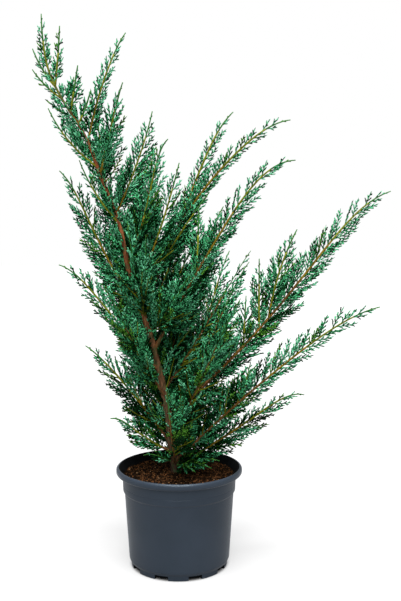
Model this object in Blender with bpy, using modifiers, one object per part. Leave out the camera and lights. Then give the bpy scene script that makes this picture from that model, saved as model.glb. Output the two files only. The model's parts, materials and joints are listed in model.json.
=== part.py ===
"""Potted common juniper: a plastic nursery pot, its soil, a leaning trunk, boughs and foliage masses.

Metres, +Z up. The origin is the centre of the pot's flat underside and the plant is seen from -Y.
The trunk leans to the left (-X) and the long boughs sweep up to the right (+X). Each bough is one
tapering limb, and where it ends a foliage mass goes on along the same line: a three-sided stem,
three-sided twigs and toothed blades, each blade standing for one flat spray of scale leaves.
"""
import math

import bmesh
import bpy
import numpy as np
from mathutils import Matrix
from mathutils.bvhtree import BVHTree

PART = "potted_common_juniper"
GAP = 0.0003  # clearance between neighbouring solids

# Pot, a five litre nursery container
POT_HEIGHT = 0.178
RIM_RADIUS = 0.1125
RIM_HEIGHT = 0.012
RIM_MOUTH = 0.1058  # radius of the mouth at the top of the rim
BAND_RADIUS = 0.1008
BAND_BOTTOM = 0.137  # height of the lower edge of the band under the rim
WALL_TOP_RADIUS = 0.0976
WALL_FOOT_RADIUS = 0.0900
FOOT_RADIUS = 0.0860
FOOT_HEIGHT = 0.0135
LEDGE = POT_HEIGHT - RIM_HEIGHT  # height of the rim's lower edge
WALL = 0.0022
FLOOR = 0.0030
EDGE = 0.0030  # how far the rim's edges are drawn in
EASE = 0.0004  # draft of a moulded step
POT_STEPS = 28

# Drain slots round the foot
SLOTS = 9
SLOT_WIDTH = 0.024
SLOT_HEIGHT = 0.0080
SLOT_DEPTH = 0.012  # how far a slot reaches in from the foot's edge
SLOT_OUT = 0.008  # how far its cutter stands out of the foot
SLOT_START = 20.0  # azimuth of the first slot from the front, in degrees

SOIL_TOP = 0.166

# Trunk: the lean from upright at equal steps along it, in degrees
TRUNK_LEANS = (10, 7, 11, 16, 21, 6, 24, 18, 35, 22)
TRUNK_STEP = 0.0820
TRUNK_FOOT = -0.005  # where the trunk's line stands on the soil, along X
TRUNK_RADIUS = 0.0078
TRUNK_TIP_RADIUS = 0.0016
FLARE = 0.0045  # how much wider the root flare is at the soil
FLARE_HEIGHT = 0.022
FLARE_POINTS = 5
TRUNK_POINTS = 18
TRUNK_TAPER = 0.9
TRUNK_SIDES = 8

# Growth of boughs and foliage
NOD_POWER = 8  # how late a limb bends towards its nod
LIMB_STEPS = 40
BOUGH_POINTS = 5
BOUGH_SIDES = 6
STEM_SIDES = 3
STEM_POINT_PITCH = 0.065
STEM_ROOT_RADIUS = 0.0022
STEM_TIP_RADIUS = 0.0007
TWIG_RADIUS = 0.0014
DIRECTION_REACH = 0.004  # half the stretch over which a line's direction is read
GOLDEN_TURN = 137.5
TIP_TURN = 40.0  # turn of the spray at a stem's tip
SHOOT_PITCH = 0.028
SHOOT_ANGLE = 42.0
LONG_SHOOT = 0.105  # a side shoot longer than this is a twig with its own blades
TWIG_PITCH = 0.040
TIP_SPRAY = 0.052
TIP_SLENDER = 0.50  # width of a tip's spray beside that of a side spray
SHORTER = (1.0, 0.8, 0.6)  # lengths tried for a shoot that doesn't fit its space
SWINGS = (0, 45, -45, 95, -95)  # turns about the stem tried at each length, in degrees
FIRST_SHOOT = 0.014
LEAST_SHOOT = 0.025
UPPER_BIAS = 4.0  # how far a spray on the upper side is longer, for each metre of spread
SHOOT_TAPER = 0.75
TWIG_POINTS = 7
TWIG_LIFT = 0.14
TWIG_BARE = 0.30  # share of a twig without blades
TWIG_SHORT = 0.010  # how far a twig's tube stops inside its tip's blade
TWIG_BLADE = 0.058

# Toothed blades
BLADE_THICK = 0.0012
BLADE_WIDTH = 0.50  # width over length
RIB = 0.0011  # half width of a blade's rib at both its ends
RIB_SWELL = 0.30  # how far the rib widens between them, over the blade's half width
TOOTH_PITCH = 0.036
TOOTH_LEAN = 36.0
LAST_TOOTH = 0.40  # length of the last tooth beside the first
BLADE_END = 0.9  # pitches that the rib runs on past its last tooth

# Space that a mass keeps free
SPACE_MARGIN = 0.0015
LIMB_MARGIN = 0.0020
MESH_MARGIN = 0.0008
POT_MARGIN = 0.004
RIM_CLEAR = 0.012  # clearance to the inside of the rim
SUNK_ROOT = 0.010  # the part of a blade that may lie in its stem
HOME_POINTS = 24  # points that stand for the line of a mass
LIMB_PITCH = 0.004  # pitch of the points that stand for a limb

# Each limb: name, parent, place along the parent, azimuth (0 is +X, 90 is +Y), rise at its foot,
# rise at its end, nod of the last stretch, length, foot radius, bare share, spread of its foliage,
# and the seed of its foliage. A limb with no bare share is foliage from its foot.
LIMBS = (
    ("right_main", "trunk", 0.101, 5, 40, 60, -43, 0.568, 0.0048, 0.46, 0.059, 6),
    ("right_rise", "bough_right_main", 0.252, 12, 82, 62, 0, 0.166, 0.0022, 0, 0.038, 6),
    ("right_inner", "bough_right_main", 0.226, 90, 84, 90, 0, 0.125, 0.0022, 0, 0.054, 7),
    ("right_long", "trunk", 0.226, -22, 60, 56, -57, 0.423, 0.0040, 0.18, 0.053, 1),
    ("right_low", "trunk", 0.018, -25, 46, 37, -21, 0.472, 0.0042, 0.18, 0.038, 2),
    ("right_bottom", "trunk", 0.012, 22, 22, 35, -55, 0.286, 0.0032, 0.18, 0.055, 4),
    ("right_high", "trunk", 0.298, 20, 65, 69, -28, 0.392, 0.0038, 0.46, 0.029, 5),
    ("right_fork", "bough_right_high", 0.145, -12, 60, 34, -30, 0.290, 0.0030, 0.16, 0.026, 0),
    ("left_high", "trunk", 0.282, 168, 54, 71, -30, 0.304, 0.0034, 0.16, 0.041, 0),
    ("left_mid", "trunk", 0.185, 200, 49, 54, -36, 0.263, 0.0032, 0.16, 0.034, 0),
    ("left_low", "trunk", 0.050, 165, 53, 43, -13, 0.239, 0.0034, 0.16, 0.067, 4),
    ("left_bottom", "trunk", 0.037, 197, 26, 50, -60, 0.134, 0.0024, 0.18, 0.055, 5),
    ("front_tall", "trunk", 0.085, -34, 60, 66, -16, 0.340, 0.0034, 0.16, 0.055, 2),
    ("front_right", "trunk", 0.056, -52, 55, 58, -10, 0.330, 0.0034, 0.16, 0.084, 6),
    ("front_low", "trunk", 0.016, -92, 36, 52, -20, 0.270, 0.0032, 0.18, 0.065, 4),
    ("front_left", "trunk", 0.140, -125, 48, 60, -18, 0.270, 0.0030, 0.16, 0.065, 0),
    ("back_right", "trunk", 0.066, 62, 52, 60, -20, 0.400, 0.0040, 0.16, 0.101, 0),
    ("back_left", "trunk", 0.112, 118, 50, 62, -20, 0.380, 0.0038, 0.16, 0.098, 5),
    ("back_tall", "trunk", 0.170, 48, 60, 67, -20, 0.350, 0.0034, 0.16, 0.089, 4),
    ("back_high", "trunk", 0.240, 105, 58, 68, -16, 0.310, 0.0032, 0.16, 0.086, 5),
    ("back_low", "trunk", 0.022, 88, 30, 46, -30, 0.300, 0.0034, 0.18, 0.084, 0),
    ("back_crown", "trunk", 0.330, 130, 60, 72, -10, 0.250, 0.0028, 0.16, 0.074, 2),
    ("mid_right", "trunk", 0.150, 24, 52, 60, -10, 0.300, 0.0026, 0.16, 0.049, 3),
    ("front_high", "trunk", 0.278, -118, 66, 78, 0, 0.185, 0.0022, 0, 0.070, 5),
    ("front_reach", "trunk", 0.250, -46, 45, 52, 0, 0.175, 0.0022, 0, 0.072, 7),
    ("crown_front", "trunk", 0.380, -38, 61, 83, -50, 0.236, 0.0022, 0, 0.040, 5),
    ("crown_mid", "trunk", 0.330, -8, 66, 76, 0, 0.240, 0.0022, 0, 0.060, 6),
    ("crown_back", "trunk", 0.350, 52, 72, 80, 0, 0.245, 0.0022, 0, 0.070, 7),
    ("crown_right", "trunk", 0.474, 15, 64, 75, 3, 0.189, 0.0020, 0, 0.055, 3),
    ("crown_left", "trunk", 0.455, 184, 46, 70, 0, 0.130, 0.0020, 0, 0.037, 2),
    ("spire_front", "trunk", 0.547, -40, 69, 72, -12, 0.161, 0.0018, 0, 0.049, 2),
    ("spire_back", "trunk", 0.520, 110, 60, 74, 0, 0.150, 0.0018, 0, 0.043, 2),
    ("spire_right", "trunk", 0.606, 30, 78, 62, -9, 0.206, 0.0018, 0, 0.028, 1),
    ("spire_left", "trunk", 0.560, 190, 34, 66, 0, 0.130, 0.0016, 0, 0.034, 0),
    ("spire_tip", "trunk", 0.664, -20, 79, 79, 0, 0.080, 0.0014, 0, 0.022, 5),
)
LEADER_LENGTH = 0.101  # the leader goes on from the trunk's lean and stands upright at its tip
LEADER_SPREAD = 0.009
LEADER_SEED = 7

GREEN = (0.060, 0.170, 0.120, 1.0)
BARK = (0.200, 0.085, 0.040, 1.0)
SOIL_BROWN = (0.060, 0.032, 0.018, 1.0)
SLATE = (0.045, 0.055, 0.068, 1.0)

UP = np.array((0.0, 0.0, 1.0))


def clear_scene():
    for thing in list(bpy.data.objects):
        bpy.data.objects.remove(thing)


def new_collection(name):
    collection = bpy.data.collections.new(name)
    bpy.context.scene.collection.children.link(collection)
    return collection


def material(name, colour, roughness):
    made = bpy.data.materials.new(name)
    made.use_nodes = True
    shader = made.node_tree.nodes["Principled BSDF"]
    shader.inputs["Base Color"].default_value = colour
    shader.inputs["Roughness"].default_value = roughness
    shader.inputs["Metallic"].default_value = 0.0
    return made


def add_object(name, data, collection):
    made = bpy.data.objects.new(name, data)
    collection.objects.link(made)
    return made


def remove_object(thing):
    data = thing.data
    bpy.data.objects.remove(thing)
    if data.users == 0:
        kinds = {bpy.types.Mesh: bpy.data.meshes, bpy.types.Curve: bpy.data.curves}
        kinds[type(data)].remove(data)


def settled_mesh(thing):
    """The evaluated mesh of an object."""
    graph = bpy.context.evaluated_depsgraph_get()
    return bpy.data.meshes.new_from_object(thing.evaluated_get(graph))


def welded(mesh):
    """A mesh from a curve, welded where its caps meet its sides, its faces pointing out."""
    shape = bmesh.new()
    shape.from_mesh(mesh)
    bmesh.ops.remove_doubles(shape, verts=shape.verts, dist=0.00001)
    bmesh.ops.recalc_face_normals(shape, faces=shape.faces)
    if shape.calc_volume(signed=True) < 0:
        bmesh.ops.reverse_faces(shape, faces=shape.faces)
    shape.to_mesh(mesh)
    shape.free()
    return mesh


def unit(vector):
    return vector / np.linalg.norm(vector)


def poly_curve(name, points, radii=None, cyclic=False):
    curve = bpy.data.curves.new(name, "CURVE")
    curve.dimensions = "3D"
    spline = curve.splines.new("POLY")
    spline.points.add(len(points) - 1)
    for place, point in enumerate(points):
        spline.points[place].co = (*point, 1.0)
        spline.points[place].radius = 1.0 if radii is None else radii[place]
    spline.use_cyclic_u = cyclic
    return curve


class Tubes:
    """Tapering tubes: a curve carries a section with the wanted number of sides."""

    def __init__(self, guides):
        self.guides = guides
        self.sections = {}

    def section(self, sides):
        if sides not in self.sections:
            corners = [(math.cos(2 * math.pi * k / sides), math.sin(2 * math.pi * k / sides), 0.0)
                       for k in range(sides)]
            curve = poly_curve(f"section_{sides}", corners, cyclic=True)
            curve.dimensions = "2D"
            made = add_object(f"section_{sides}", curve, self.guides)
            made.hide_render = True
            self.sections[sides] = made
        return self.sections[sides]

    def mesh(self, name, points, radii, sides):
        curve = poly_curve(name, points, radii)
        curve.bevel_mode = "OBJECT"
        curve.bevel_object = self.section(sides)
        curve.use_fill_caps = True
        guide = add_object(name, curve, self.guides)
        mesh = settled_mesh(guide)
        remove_object(guide)
        return welded(mesh)

    def close(self):
        for made in self.sections.values():
            remove_object(made)


def turned(name, profile, collection, finish):
    """A profile of (radius, height) turned about the Z axis, from its top outside to its foot."""
    mesh = bpy.data.meshes.new(name)
    points = [(radius, 0.0, height) for radius, height in profile]
    edges = [(k, k + 1) for k in range(len(points) - 1)]
    if profile[0][0] > 0:
        edges.append((len(points) - 1, 0))
    mesh.from_pydata(points, edges, [])
    made = add_object(name, mesh, collection)
    made.data.materials.append(finish)
    screw = made.modifiers.new("turn", "SCREW")
    screw.steps = POT_STEPS
    screw.render_steps = POT_STEPS
    screw.use_merge_vertices = True
    screw.merge_threshold = 0.0001
    return made


def inner_wall():
    """Inside of the pot from the mouth down to the floor."""
    return [
        (RIM_MOUTH, POT_HEIGHT - EDGE),
        (BAND_RADIUS - WALL, LEDGE - EDGE),
        (BAND_RADIUS - WALL - EASE, BAND_BOTTOM),
        (WALL_TOP_RADIUS - WALL, BAND_BOTTOM - 1.5 * EDGE),
        (WALL_FOOT_RADIUS - WALL, FOOT_HEIGHT + EASE),
        (FOOT_RADIUS - WALL, FOOT_HEIGHT - EDGE),
        (FOOT_RADIUS - WALL - EASE, FLOOR),
    ]


def make_pot(collection, cutters, finish):
    outside = [
        (RIM_RADIUS - EDGE, POT_HEIGHT),
        (RIM_RADIUS - EASE, POT_HEIGHT - EDGE / 2),
        (RIM_RADIUS, POT_HEIGHT - 1.5 * EDGE),
        (RIM_RADIUS, LEDGE + EDGE),
        (RIM_RADIUS - EDGE, LEDGE),
        (BAND_RADIUS + EASE, LEDGE - 2 * EASE),
        (BAND_RADIUS - EASE, BAND_BOTTOM),
        (WALL_TOP_RADIUS, BAND_BOTTOM - EDGE),
        (WALL_FOOT_RADIUS, FOOT_HEIGHT),
        (FOOT_RADIUS + 3 * EASE, FOOT_HEIGHT - 1.5 * EDGE),
        (FOOT_RADIUS, 0.0),
        (0.0, 0.0),
    ]
    inside = [(0.0, FLOOR)] + inner_wall()[::-1] + [(RIM_MOUTH + 4 * EASE, POT_HEIGHT)]
    pot = turned("pot", outside + inside, collection, finish)
    for count in range(SLOTS):
        bearing = math.radians(SLOT_START + 360.0 * count / SLOTS)
        radius = FOOT_RADIUS + (SLOT_OUT - SLOT_DEPTH) / 2
        place = Matrix.Translation((radius * math.sin(bearing), -radius * math.cos(bearing), 0.0))
        slot_mesh = bpy.data.meshes.new(f"slot_{count}")
        shape = bmesh.new()
        bmesh.ops.create_cube(shape, size=1.0)
        size = Matrix.Diagonal((SLOT_WIDTH, SLOT_DEPTH + SLOT_OUT, 2 * SLOT_HEIGHT, 1.0))
        bmesh.ops.transform(shape, matrix=place @ Matrix.Rotation(bearing, 4, "Z") @ size,
                            verts=shape.verts)
        shape.to_mesh(slot_mesh)
        shape.free()
        slot = add_object(f"slot_{count}", slot_mesh, cutters)
        slot.hide_render = True
        slot.display_type = "WIRE"
        cut = pot.modifiers.new(f"slot_{count}", "BOOLEAN")
        cut.operation = "DIFFERENCE"
        cut.object = slot
    return pot


def make_soil(collection, finish):
    """Soil that fills the pot, with its flat top under the trunk."""
    wall = inner_wall()
    top_radius = np.interp(SOIL_TOP, [p[1] for p in wall[::-1]], [p[0] for p in wall[::-1]]) - GAP
    below = [(radius - GAP, height) for radius, height in wall if FLOOR < height < SOIL_TOP]
    bottom = (wall[-1][0] - GAP, FLOOR + GAP)
    profile = [(0.0, SOIL_TOP), (top_radius, SOIL_TOP)] + below + [bottom, (0.0, FLOOR + GAP)]
    return turned("soil", profile, collection, finish)


def trunk_line():
    """The trunk's line, its lean read smoothly between the named steps."""
    count = LIMB_STEPS * 2
    at = np.linspace(0, len(TRUNK_LEANS) - 1, count)
    lean = np.radians(np.interp(at, np.arange(len(TRUNK_LEANS)), TRUNK_LEANS))
    step = TRUNK_STEP * (len(TRUNK_LEANS) - 1) / (count - 1)
    middle = (lean[1:] + lean[:-1]) / 2
    across = TRUNK_FOOT - np.concatenate(([0.0], np.cumsum(np.sin(middle)) * step))
    height = SOIL_TOP + GAP + np.concatenate(([0.0], np.cumsum(np.cos(middle)) * step))
    return np.stack((across, np.zeros(count), height), axis=1)


def limb_line(foot, azimuth, rise, end, nod, length):
    """A limb's line: its rise changes evenly from foot to end, and its last stretch nods."""
    share = (np.arange(LIMB_STEPS) + 0.5) / LIMB_STEPS
    climb = np.radians(rise + (end - rise) * share + nod * share ** NOD_POWER)
    bearing = math.radians(azimuth)
    flat = np.cos(climb)
    steps = np.stack((flat * math.cos(bearing), flat * math.sin(bearing), np.sin(climb)), axis=1)
    return np.vstack((foot, foot + np.cumsum(steps, axis=0) * length / LIMB_STEPS))


def distances(line):
    """Distance along a line at each of its points."""
    return np.concatenate(([0.0], np.cumsum(np.linalg.norm(np.diff(line, axis=0), axis=1))))


def point_at(line, along):
    reach = distances(line)
    return np.array([np.interp(along, reach, line[:, axis]) for axis in range(3)])


def direction_at(line, along):
    total = distances(line)[-1]
    near = max(0.0, along - DIRECTION_REACH)
    far = min(total, along + DIRECTION_REACH)
    return unit(point_at(line, far) - point_at(line, near))


def stretch(line, start, end, count):
    """Points at even distances along part of a line."""
    return np.array([point_at(line, along) for along in np.linspace(start, end, count)])


def square_to(direction, turn):
    """A direction square to a shoot, turned about it; a turn of 90 degrees points up."""
    level = np.cross(direction, UP)
    if np.linalg.norm(level) < 0.05:
        level = np.array((1.0, 0.0, 0.0))
    level = unit(level - direction * np.dot(level, direction))
    lift = np.cross(level, direction)
    return level * math.cos(math.radians(turn)) + lift * math.sin(math.radians(turn))


def trunk_radius(along, total):
    taper = TRUNK_RADIUS + (TRUNK_TIP_RADIUS - TRUNK_RADIUS) * (along / total) ** TRUNK_TAPER
    return taper + FLARE * max(0.0, 1.0 - along / FLARE_HEIGHT) ** 2


def make_trunk(tubes, collection, finish):
    line = trunk_line()
    total = distances(line)[-1]
    flare = np.linspace(0.0, FLARE_HEIGHT, FLARE_POINTS)
    along = np.concatenate((flare[:-1], np.linspace(FLARE_HEIGHT, total, TRUNK_POINTS)))
    points = np.array([point_at(line, at) for at in along])
    points[0, 2] = SOIL_TOP + GAP
    points[1, 0] = points[0, 0]
    radii = [trunk_radius(at, total) for at in along]
    mesh = tubes.mesh("trunk", points, radii, TRUNK_SIDES)
    trunk = add_object("trunk", mesh, collection)
    mesh.materials.append(finish)
    return trunk, line, points, radii


def blade_mesh(length, width, teeth, first_side):
    """One flat spray along +X: a rib with teeth that thin out to points, set alternately.

    The rib's edges carry the notches, a pitch apart, and on the second side half a pitch later.
    Each tooth is a pyramid on the rib between two notches, leaning forward.
    """
    lean = math.radians(TOOTH_LEAN)
    pitch = length / (teeth + BLADE_END)
    points = [(length, 0.0, 0.0)]
    faces = []
    notches = {}
    for side in (first_side, -first_side):
        late = 0.0 if side == first_side else 0.5
        places = [0.0] + [(count + late) * pitch for count in range(1, teeth + 1)]
        corners = []
        for place in places:
            rib = side * (RIB + RIB_SWELL * width / 2 * math.sin(math.pi * place / length))
            corners.append((len(points), len(points) + 1))
            points += [(place, rib, BLADE_THICK / 2), (place, rib, -BLADE_THICK / 2)]
        notches[side] = corners
        for start, end, low, high in zip(places, places[1:], corners, corners[1:]):
            left = 1.0 - start / length
            reach = width / 2 / math.sin(lean) * (LAST_TOOTH + (1.0 - LAST_TOOTH) * left)
            tip = len(points)
            points.append(((start + end) / 2 + reach * math.cos(lean) - pitch / 4,
                           side * (RIB + reach * math.sin(lean)), 0.0))
            faces += [(low[0], tip, high[0]), (low[1], tip, high[1]), (low[0], low[1], tip),
                      (high[0], high[1], tip)]
        faces.append((*corners[-1], 0))
    one, other = notches[first_side], notches[-first_side]
    faces += [(one[0][0], one[0][1], other[0][1]), (one[0][0], other[0][1], other[0][0])]
    for layer in (0, 1):
        strip = [corner[layer] for pair in zip(one, other) for corner in pair] + [0]
        faces += list(zip(strip, strip[1:], strip[2:]))
    mesh = bpy.data.meshes.new("blade")
    mesh.from_pydata(points, [], faces)
    return welded(mesh)


def placing(root, direction, face):
    """The matrix that sets +X along a direction and +Z along the blade's face."""
    face = unit(face - direction * np.dot(face, direction))
    side = np.cross(face, direction)
    matrix = Matrix.Identity(4)
    for row in range(3):
        matrix[row][0] = direction[row]
        matrix[row][1] = side[row]
        matrix[row][2] = face[row]
        matrix[row][3] = root[row]
    return matrix


def tree_of(mesh, swell=0.0):
    """A search tree of a mesh, swollen along its normals where a clearance is tested."""
    points = [vertex.co + vertex.normal * swell for vertex in mesh.vertices]
    return BVHTree.FromPolygons(points, [tuple(face.vertices) for face in mesh.polygons])


def box_of(mesh, swell=0.0):
    points = np.zeros(3 * len(mesh.vertices))
    mesh.vertices.foreach_get("co", points)
    points = points.reshape(-1, 3)
    return points.min(axis=0) - swell, points.max(axis=0) + swell


class Space:
    """Who owns which space: the lines of the masses, the limbs, and every solid placed so far."""

    def __init__(self):
        self.home = {}
        self.limbs = []
        self.solids = []

    def add_home(self, mass, line):
        self.home[mass] = stretch(line, 0.0, distances(line)[-1], HOME_POINTS)

    def add_limb(self, points, radii):
        along = distances(points)
        fine = np.linspace(0.0, along[-1], int(along[-1] / LIMB_PITCH) + 2)
        centre = np.stack([np.interp(fine, along, points[:, axis]) for axis in range(3)], axis=1)
        self.limbs.append((centre, np.interp(fine, along, radii)))

    def add_solid(self, owner, mesh):
        self.solids.append((owner, tree_of(mesh), *box_of(mesh)))

    def allows_points(self, mass, points):
        """True where every point is nearer to its own mass than to another, and clear of limbs."""
        own = np.linalg.norm(points[:, None] - self.home[mass][None], axis=2).min(axis=1)
        for other, line in self.home.items():
            if other != mass:
                away = np.linalg.norm(points[:, None] - line[None], axis=2).min(axis=1)
                if np.any(away < own + SPACE_MARGIN):
                    return False
        for centre, radius in self.limbs:
            away = np.linalg.norm(points[:, None] - centre[None], axis=2) - radius[None]
            if np.any(away < LIMB_MARGIN):
                return False
        across = np.hypot(points[:, 0], points[:, 1])
        over_rim = points[:, 2] > POT_HEIGHT + POT_MARGIN
        inside = (across < RIM_MOUTH - RIM_CLEAR) & (points[:, 2] > SOIL_TOP + POT_MARGIN)
        return bool(np.all(over_rim | inside | (across > RIM_RADIUS + POT_MARGIN)))

    def allows_mesh(self, mass, mesh):
        """True where a mesh touches no limb, no blade and no stem of another mass."""
        low, high = box_of(mesh, MESH_MARGIN)
        swollen = tree_of(mesh, MESH_MARGIN)
        for owner, tree, other_low, other_high in self.solids:
            apart = np.any(low > other_high) or np.any(high < other_low)
            if owner != mass and not apart and swollen.overlap(tree):
                return False
        return True


def outline_points(mesh, skip):
    """Points of a blade's mesh beyond its sunk root, with the middles of its edges."""
    corners = np.array([vertex.co[:] for vertex in mesh.vertices])
    ends = np.array([edge.vertices[:] for edge in mesh.edges])
    middles = corners[ends].mean(axis=1)
    points = np.vstack((corners, middles))
    return points[np.linalg.norm(points - skip, axis=1) > SUNK_ROOT]


class Mass:
    """One foliage mass: a stem, twigs and blades, joined into one solid at the end."""

    def __init__(self, name, line, root_radius, spread, seed, tools):
        self.name = name
        self.line = line
        self.root_radius = root_radius
        self.spread = spread
        self.random = np.random.default_rng(seed)
        self.tubes, self.space = tools
        self.pieces = []

    def keep(self, mesh, owner):
        self.space.add_solid(owner, mesh)
        self.pieces.append(mesh)

    def tube(self, line, start_radius, tip_radius):
        total = distances(line)[-1]
        count = max(3, 1 + int(round(total / STEM_POINT_PITCH)))
        points = stretch(line, 0.0, total, count)
        radii = np.linspace(start_radius, tip_radius, count)
        return self.tubes.mesh(self.name, points, radii, STEM_SIDES)

    def blade(self, root, direction, face, length, slender=1.0):
        """Adds one blade and says so, unless its space is taken."""
        teeth = max(2, round(length / TOOTH_PITCH))
        first_side = 1 if self.random.random() < 0.5 else -1
        mesh = blade_mesh(length, BLADE_WIDTH * slender * length, teeth, first_side)
        mesh.transform(placing(root, direction, face))
        points = outline_points(mesh, root)
        if self.space.allows_points(self.name, points) and self.space.allows_mesh(self.name, mesh):
            self.keep(mesh, f"{self.name} blade")
            return True
        bpy.data.meshes.remove(mesh)
        return False

    def twig(self, root, direction, length):
        """Adds a twig that curves up a little, with blades along it and one at its tip."""
        along = np.linspace(0.0, 1.0, TWIG_POINTS)[:, None]
        lift = unit(direction + UP)
        line = root + direction * length * along + lift * length * TWIG_LIFT * along ** 2
        total = distances(line)[-1]
        if not self.space.allows_points(self.name, line[2:]):
            return False
        core = stretch(line, 0.0, total - TWIG_SHORT, TWIG_POINTS)
        mesh = self.tube(core, TWIG_RADIUS, STEM_TIP_RADIUS)
        if not self.space.allows_mesh(self.name, mesh):
            return False
        self.keep(mesh, self.name)
        turn = self.random.uniform(0, 360)
        for place in np.arange(TWIG_BARE * total, total - TIP_SPRAY, TWIG_PITCH):
            turn += GOLDEN_TURN
            self.side(line, place, turn, TWIG_BLADE)
        self.tip(line, turn)
        return True

    def tip(self, line, turn):
        total = distances(line)[-1]
        ahead = direction_at(line, total)
        root = point_at(line, total - TIP_SPRAY)
        self.blade(root, ahead, square_to(ahead, turn), TIP_SPRAY, TIP_SLENDER)

    def shoot(self, line, along, turn, length):
        """One side shoot: a twig where it is long, and otherwise a single blade."""
        ahead = direction_at(line, along)
        angle = math.radians(SHOOT_ANGLE)
        direction = unit(ahead * math.cos(angle) + square_to(ahead, turn) * math.sin(angle))
        root = point_at(line, along)
        if length > LONG_SHOOT:
            return self.twig(root, direction, length)
        face = square_to(direction, self.random.uniform(0, 180))
        return self.blade(root, direction, face, length)

    def side(self, line, along, turn, length):
        """The longest side shoot that fits here, swung about the stem where it has to be."""
        for share in SHORTER:
            for swing in SWINGS:
                if self.shoot(line, along, turn + swing, length * share):
                    return

    def grow(self):
        """Side shoots by the golden turn, longer on the upper side and shorter towards the tip."""
        total = distances(self.line)[-1]
        self.keep(self.tube(self.line, self.root_radius, STEM_TIP_RADIUS), self.name)
        self.tip(self.line, TIP_TURN)
        turn = self.random.uniform(0, 360)
        for along in np.arange(FIRST_SHOOT, total - TIP_SPRAY, SHOOT_PITCH):
            turn += GOLDEN_TURN
            upward = square_to(direction_at(self.line, along), turn)[2]
            reach = self.spread * (1.0 - along / total) ** SHOOT_TAPER + LEAST_SHOOT
            self.side(self.line, along, turn, reach * (1.0 + UPPER_BIAS * self.spread * upward))

    def united(self, made, group, seat, solver):
        """The mesh of the united pieces, cut clear of the limb that carries them."""
        union = made.modifiers.new("join", "BOOLEAN")
        union.operation = "UNION"
        union.operand_type = "COLLECTION"
        union.collection = group
        union.solver = solver
        if seat is not None:
            cut = made.modifiers.new("seat", "BOOLEAN")
            cut.operation = "DIFFERENCE"
            cut.object = seat
            cut.solver = solver
        mesh = drop_scraps(settled_mesh(made))
        made.modifiers.clear()
        return mesh

    def join(self, collection, finish, seat):
        """Unites the pieces by the exact solver, or by the manifold one where that fails."""
        made = add_object(f"foliage_{self.name}", self.pieces[0], collection)
        group = new_collection(f"pieces_{self.name}")
        for count, mesh in enumerate(self.pieces[1:]):
            add_object(f"piece_{count}", mesh, group)
        reach = sum(len(mesh.polygons) for mesh in self.pieces) / 2
        for solver in ("EXACT", "MANIFOLD"):
            joined = self.united(made, group, seat, solver)
            if is_closed(joined) and len(joined.polygons) > reach:
                break
        stem = made.data
        made.data = joined
        joined.name = made.name
        bpy.data.meshes.remove(stem)
        for piece in list(group.objects):
            remove_object(piece)
        bpy.data.collections.remove(group)
        joined.materials.clear()
        joined.materials.append(finish)
        return made


def is_closed(mesh):
    shape = bmesh.new()
    shape.from_mesh(mesh)
    closed = len(shape.faces) > 0 and all(edge.is_manifold for edge in shape.edges)
    shape.free()
    return closed


def drop_scraps(mesh):
    """Keeps the largest connected body of a mesh."""
    shape = bmesh.new()
    shape.from_mesh(mesh)
    shape.verts.ensure_lookup_table()
    seen = set()
    bodies = []
    for start in shape.verts:
        if start.index in seen:
            continue
        body = []
        waiting = [start]
        seen.add(start.index)
        while waiting:
            vertex = waiting.pop()
            body.append(vertex)
            for edge in vertex.link_edges:
                other = edge.other_vert(vertex)
                if other.index not in seen:
                    seen.add(other.index)
                    waiting.append(other)
        bodies.append(body)
    bodies.sort(key=len, reverse=True)
    for body in bodies[1:]:
        bmesh.ops.delete(shape, geom=body, context="VERTS")
    shape.to_mesh(mesh)
    shape.free()
    return mesh


def limb_cutter(name, points, radii, sides, tubes, cutters):
    """The limb made wider by the gap, which cuts clear whatever starts inside the limb."""
    wider = [radius + GAP / math.cos(math.pi / sides) for radius in radii]
    made = add_object(f"seat_{name}", tubes.mesh(name, points, wider, sides), cutters)
    made.hide_render = True
    made.display_type = "WIRE"
    return made


def make_bough(name, line, foot_radius, split, tubes, collection, finish, parent_cutter):
    """One tapering limb from inside its parent to the split, cut clear of the parent."""
    points = stretch(line, 0.0, split, BOUGH_POINTS)
    points[-1] -= direction_at(line, split) * GAP / 2
    radii = np.linspace(foot_radius, STEM_ROOT_RADIUS, BOUGH_POINTS)
    bough = add_object(name, tubes.mesh(name, points, radii, BOUGH_SIDES), collection)
    cut = bough.modifiers.new("seat", "BOOLEAN")
    cut.operation = "DIFFERENCE"
    cut.object = parent_cutter
    cut_mesh = drop_scraps(settled_mesh(bough))
    bough.modifiers.clear()
    bough.data = cut_mesh
    bough.data.name = name
    bough.data.materials.clear()
    bough.data.materials.append(finish)
    return bough, points, radii


def leader_line(trunk_path):
    """The leader's line: it starts with the trunk's last lean and straightens by a square root."""
    top = trunk_path[-1] + direction_at(trunk_path, distances(trunk_path)[-1]) * GAP
    share = (np.arange(LIMB_STEPS) + 0.5) / LIMB_STEPS
    lean = np.radians(TRUNK_LEANS[-1] * (1.0 - np.sqrt(share)))
    steps = np.stack((-np.sin(lean), np.zeros(LIMB_STEPS), np.cos(lean)), axis=1)
    return np.vstack((top, top + np.cumsum(steps, axis=0) * LEADER_LENGTH / LIMB_STEPS))


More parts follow.
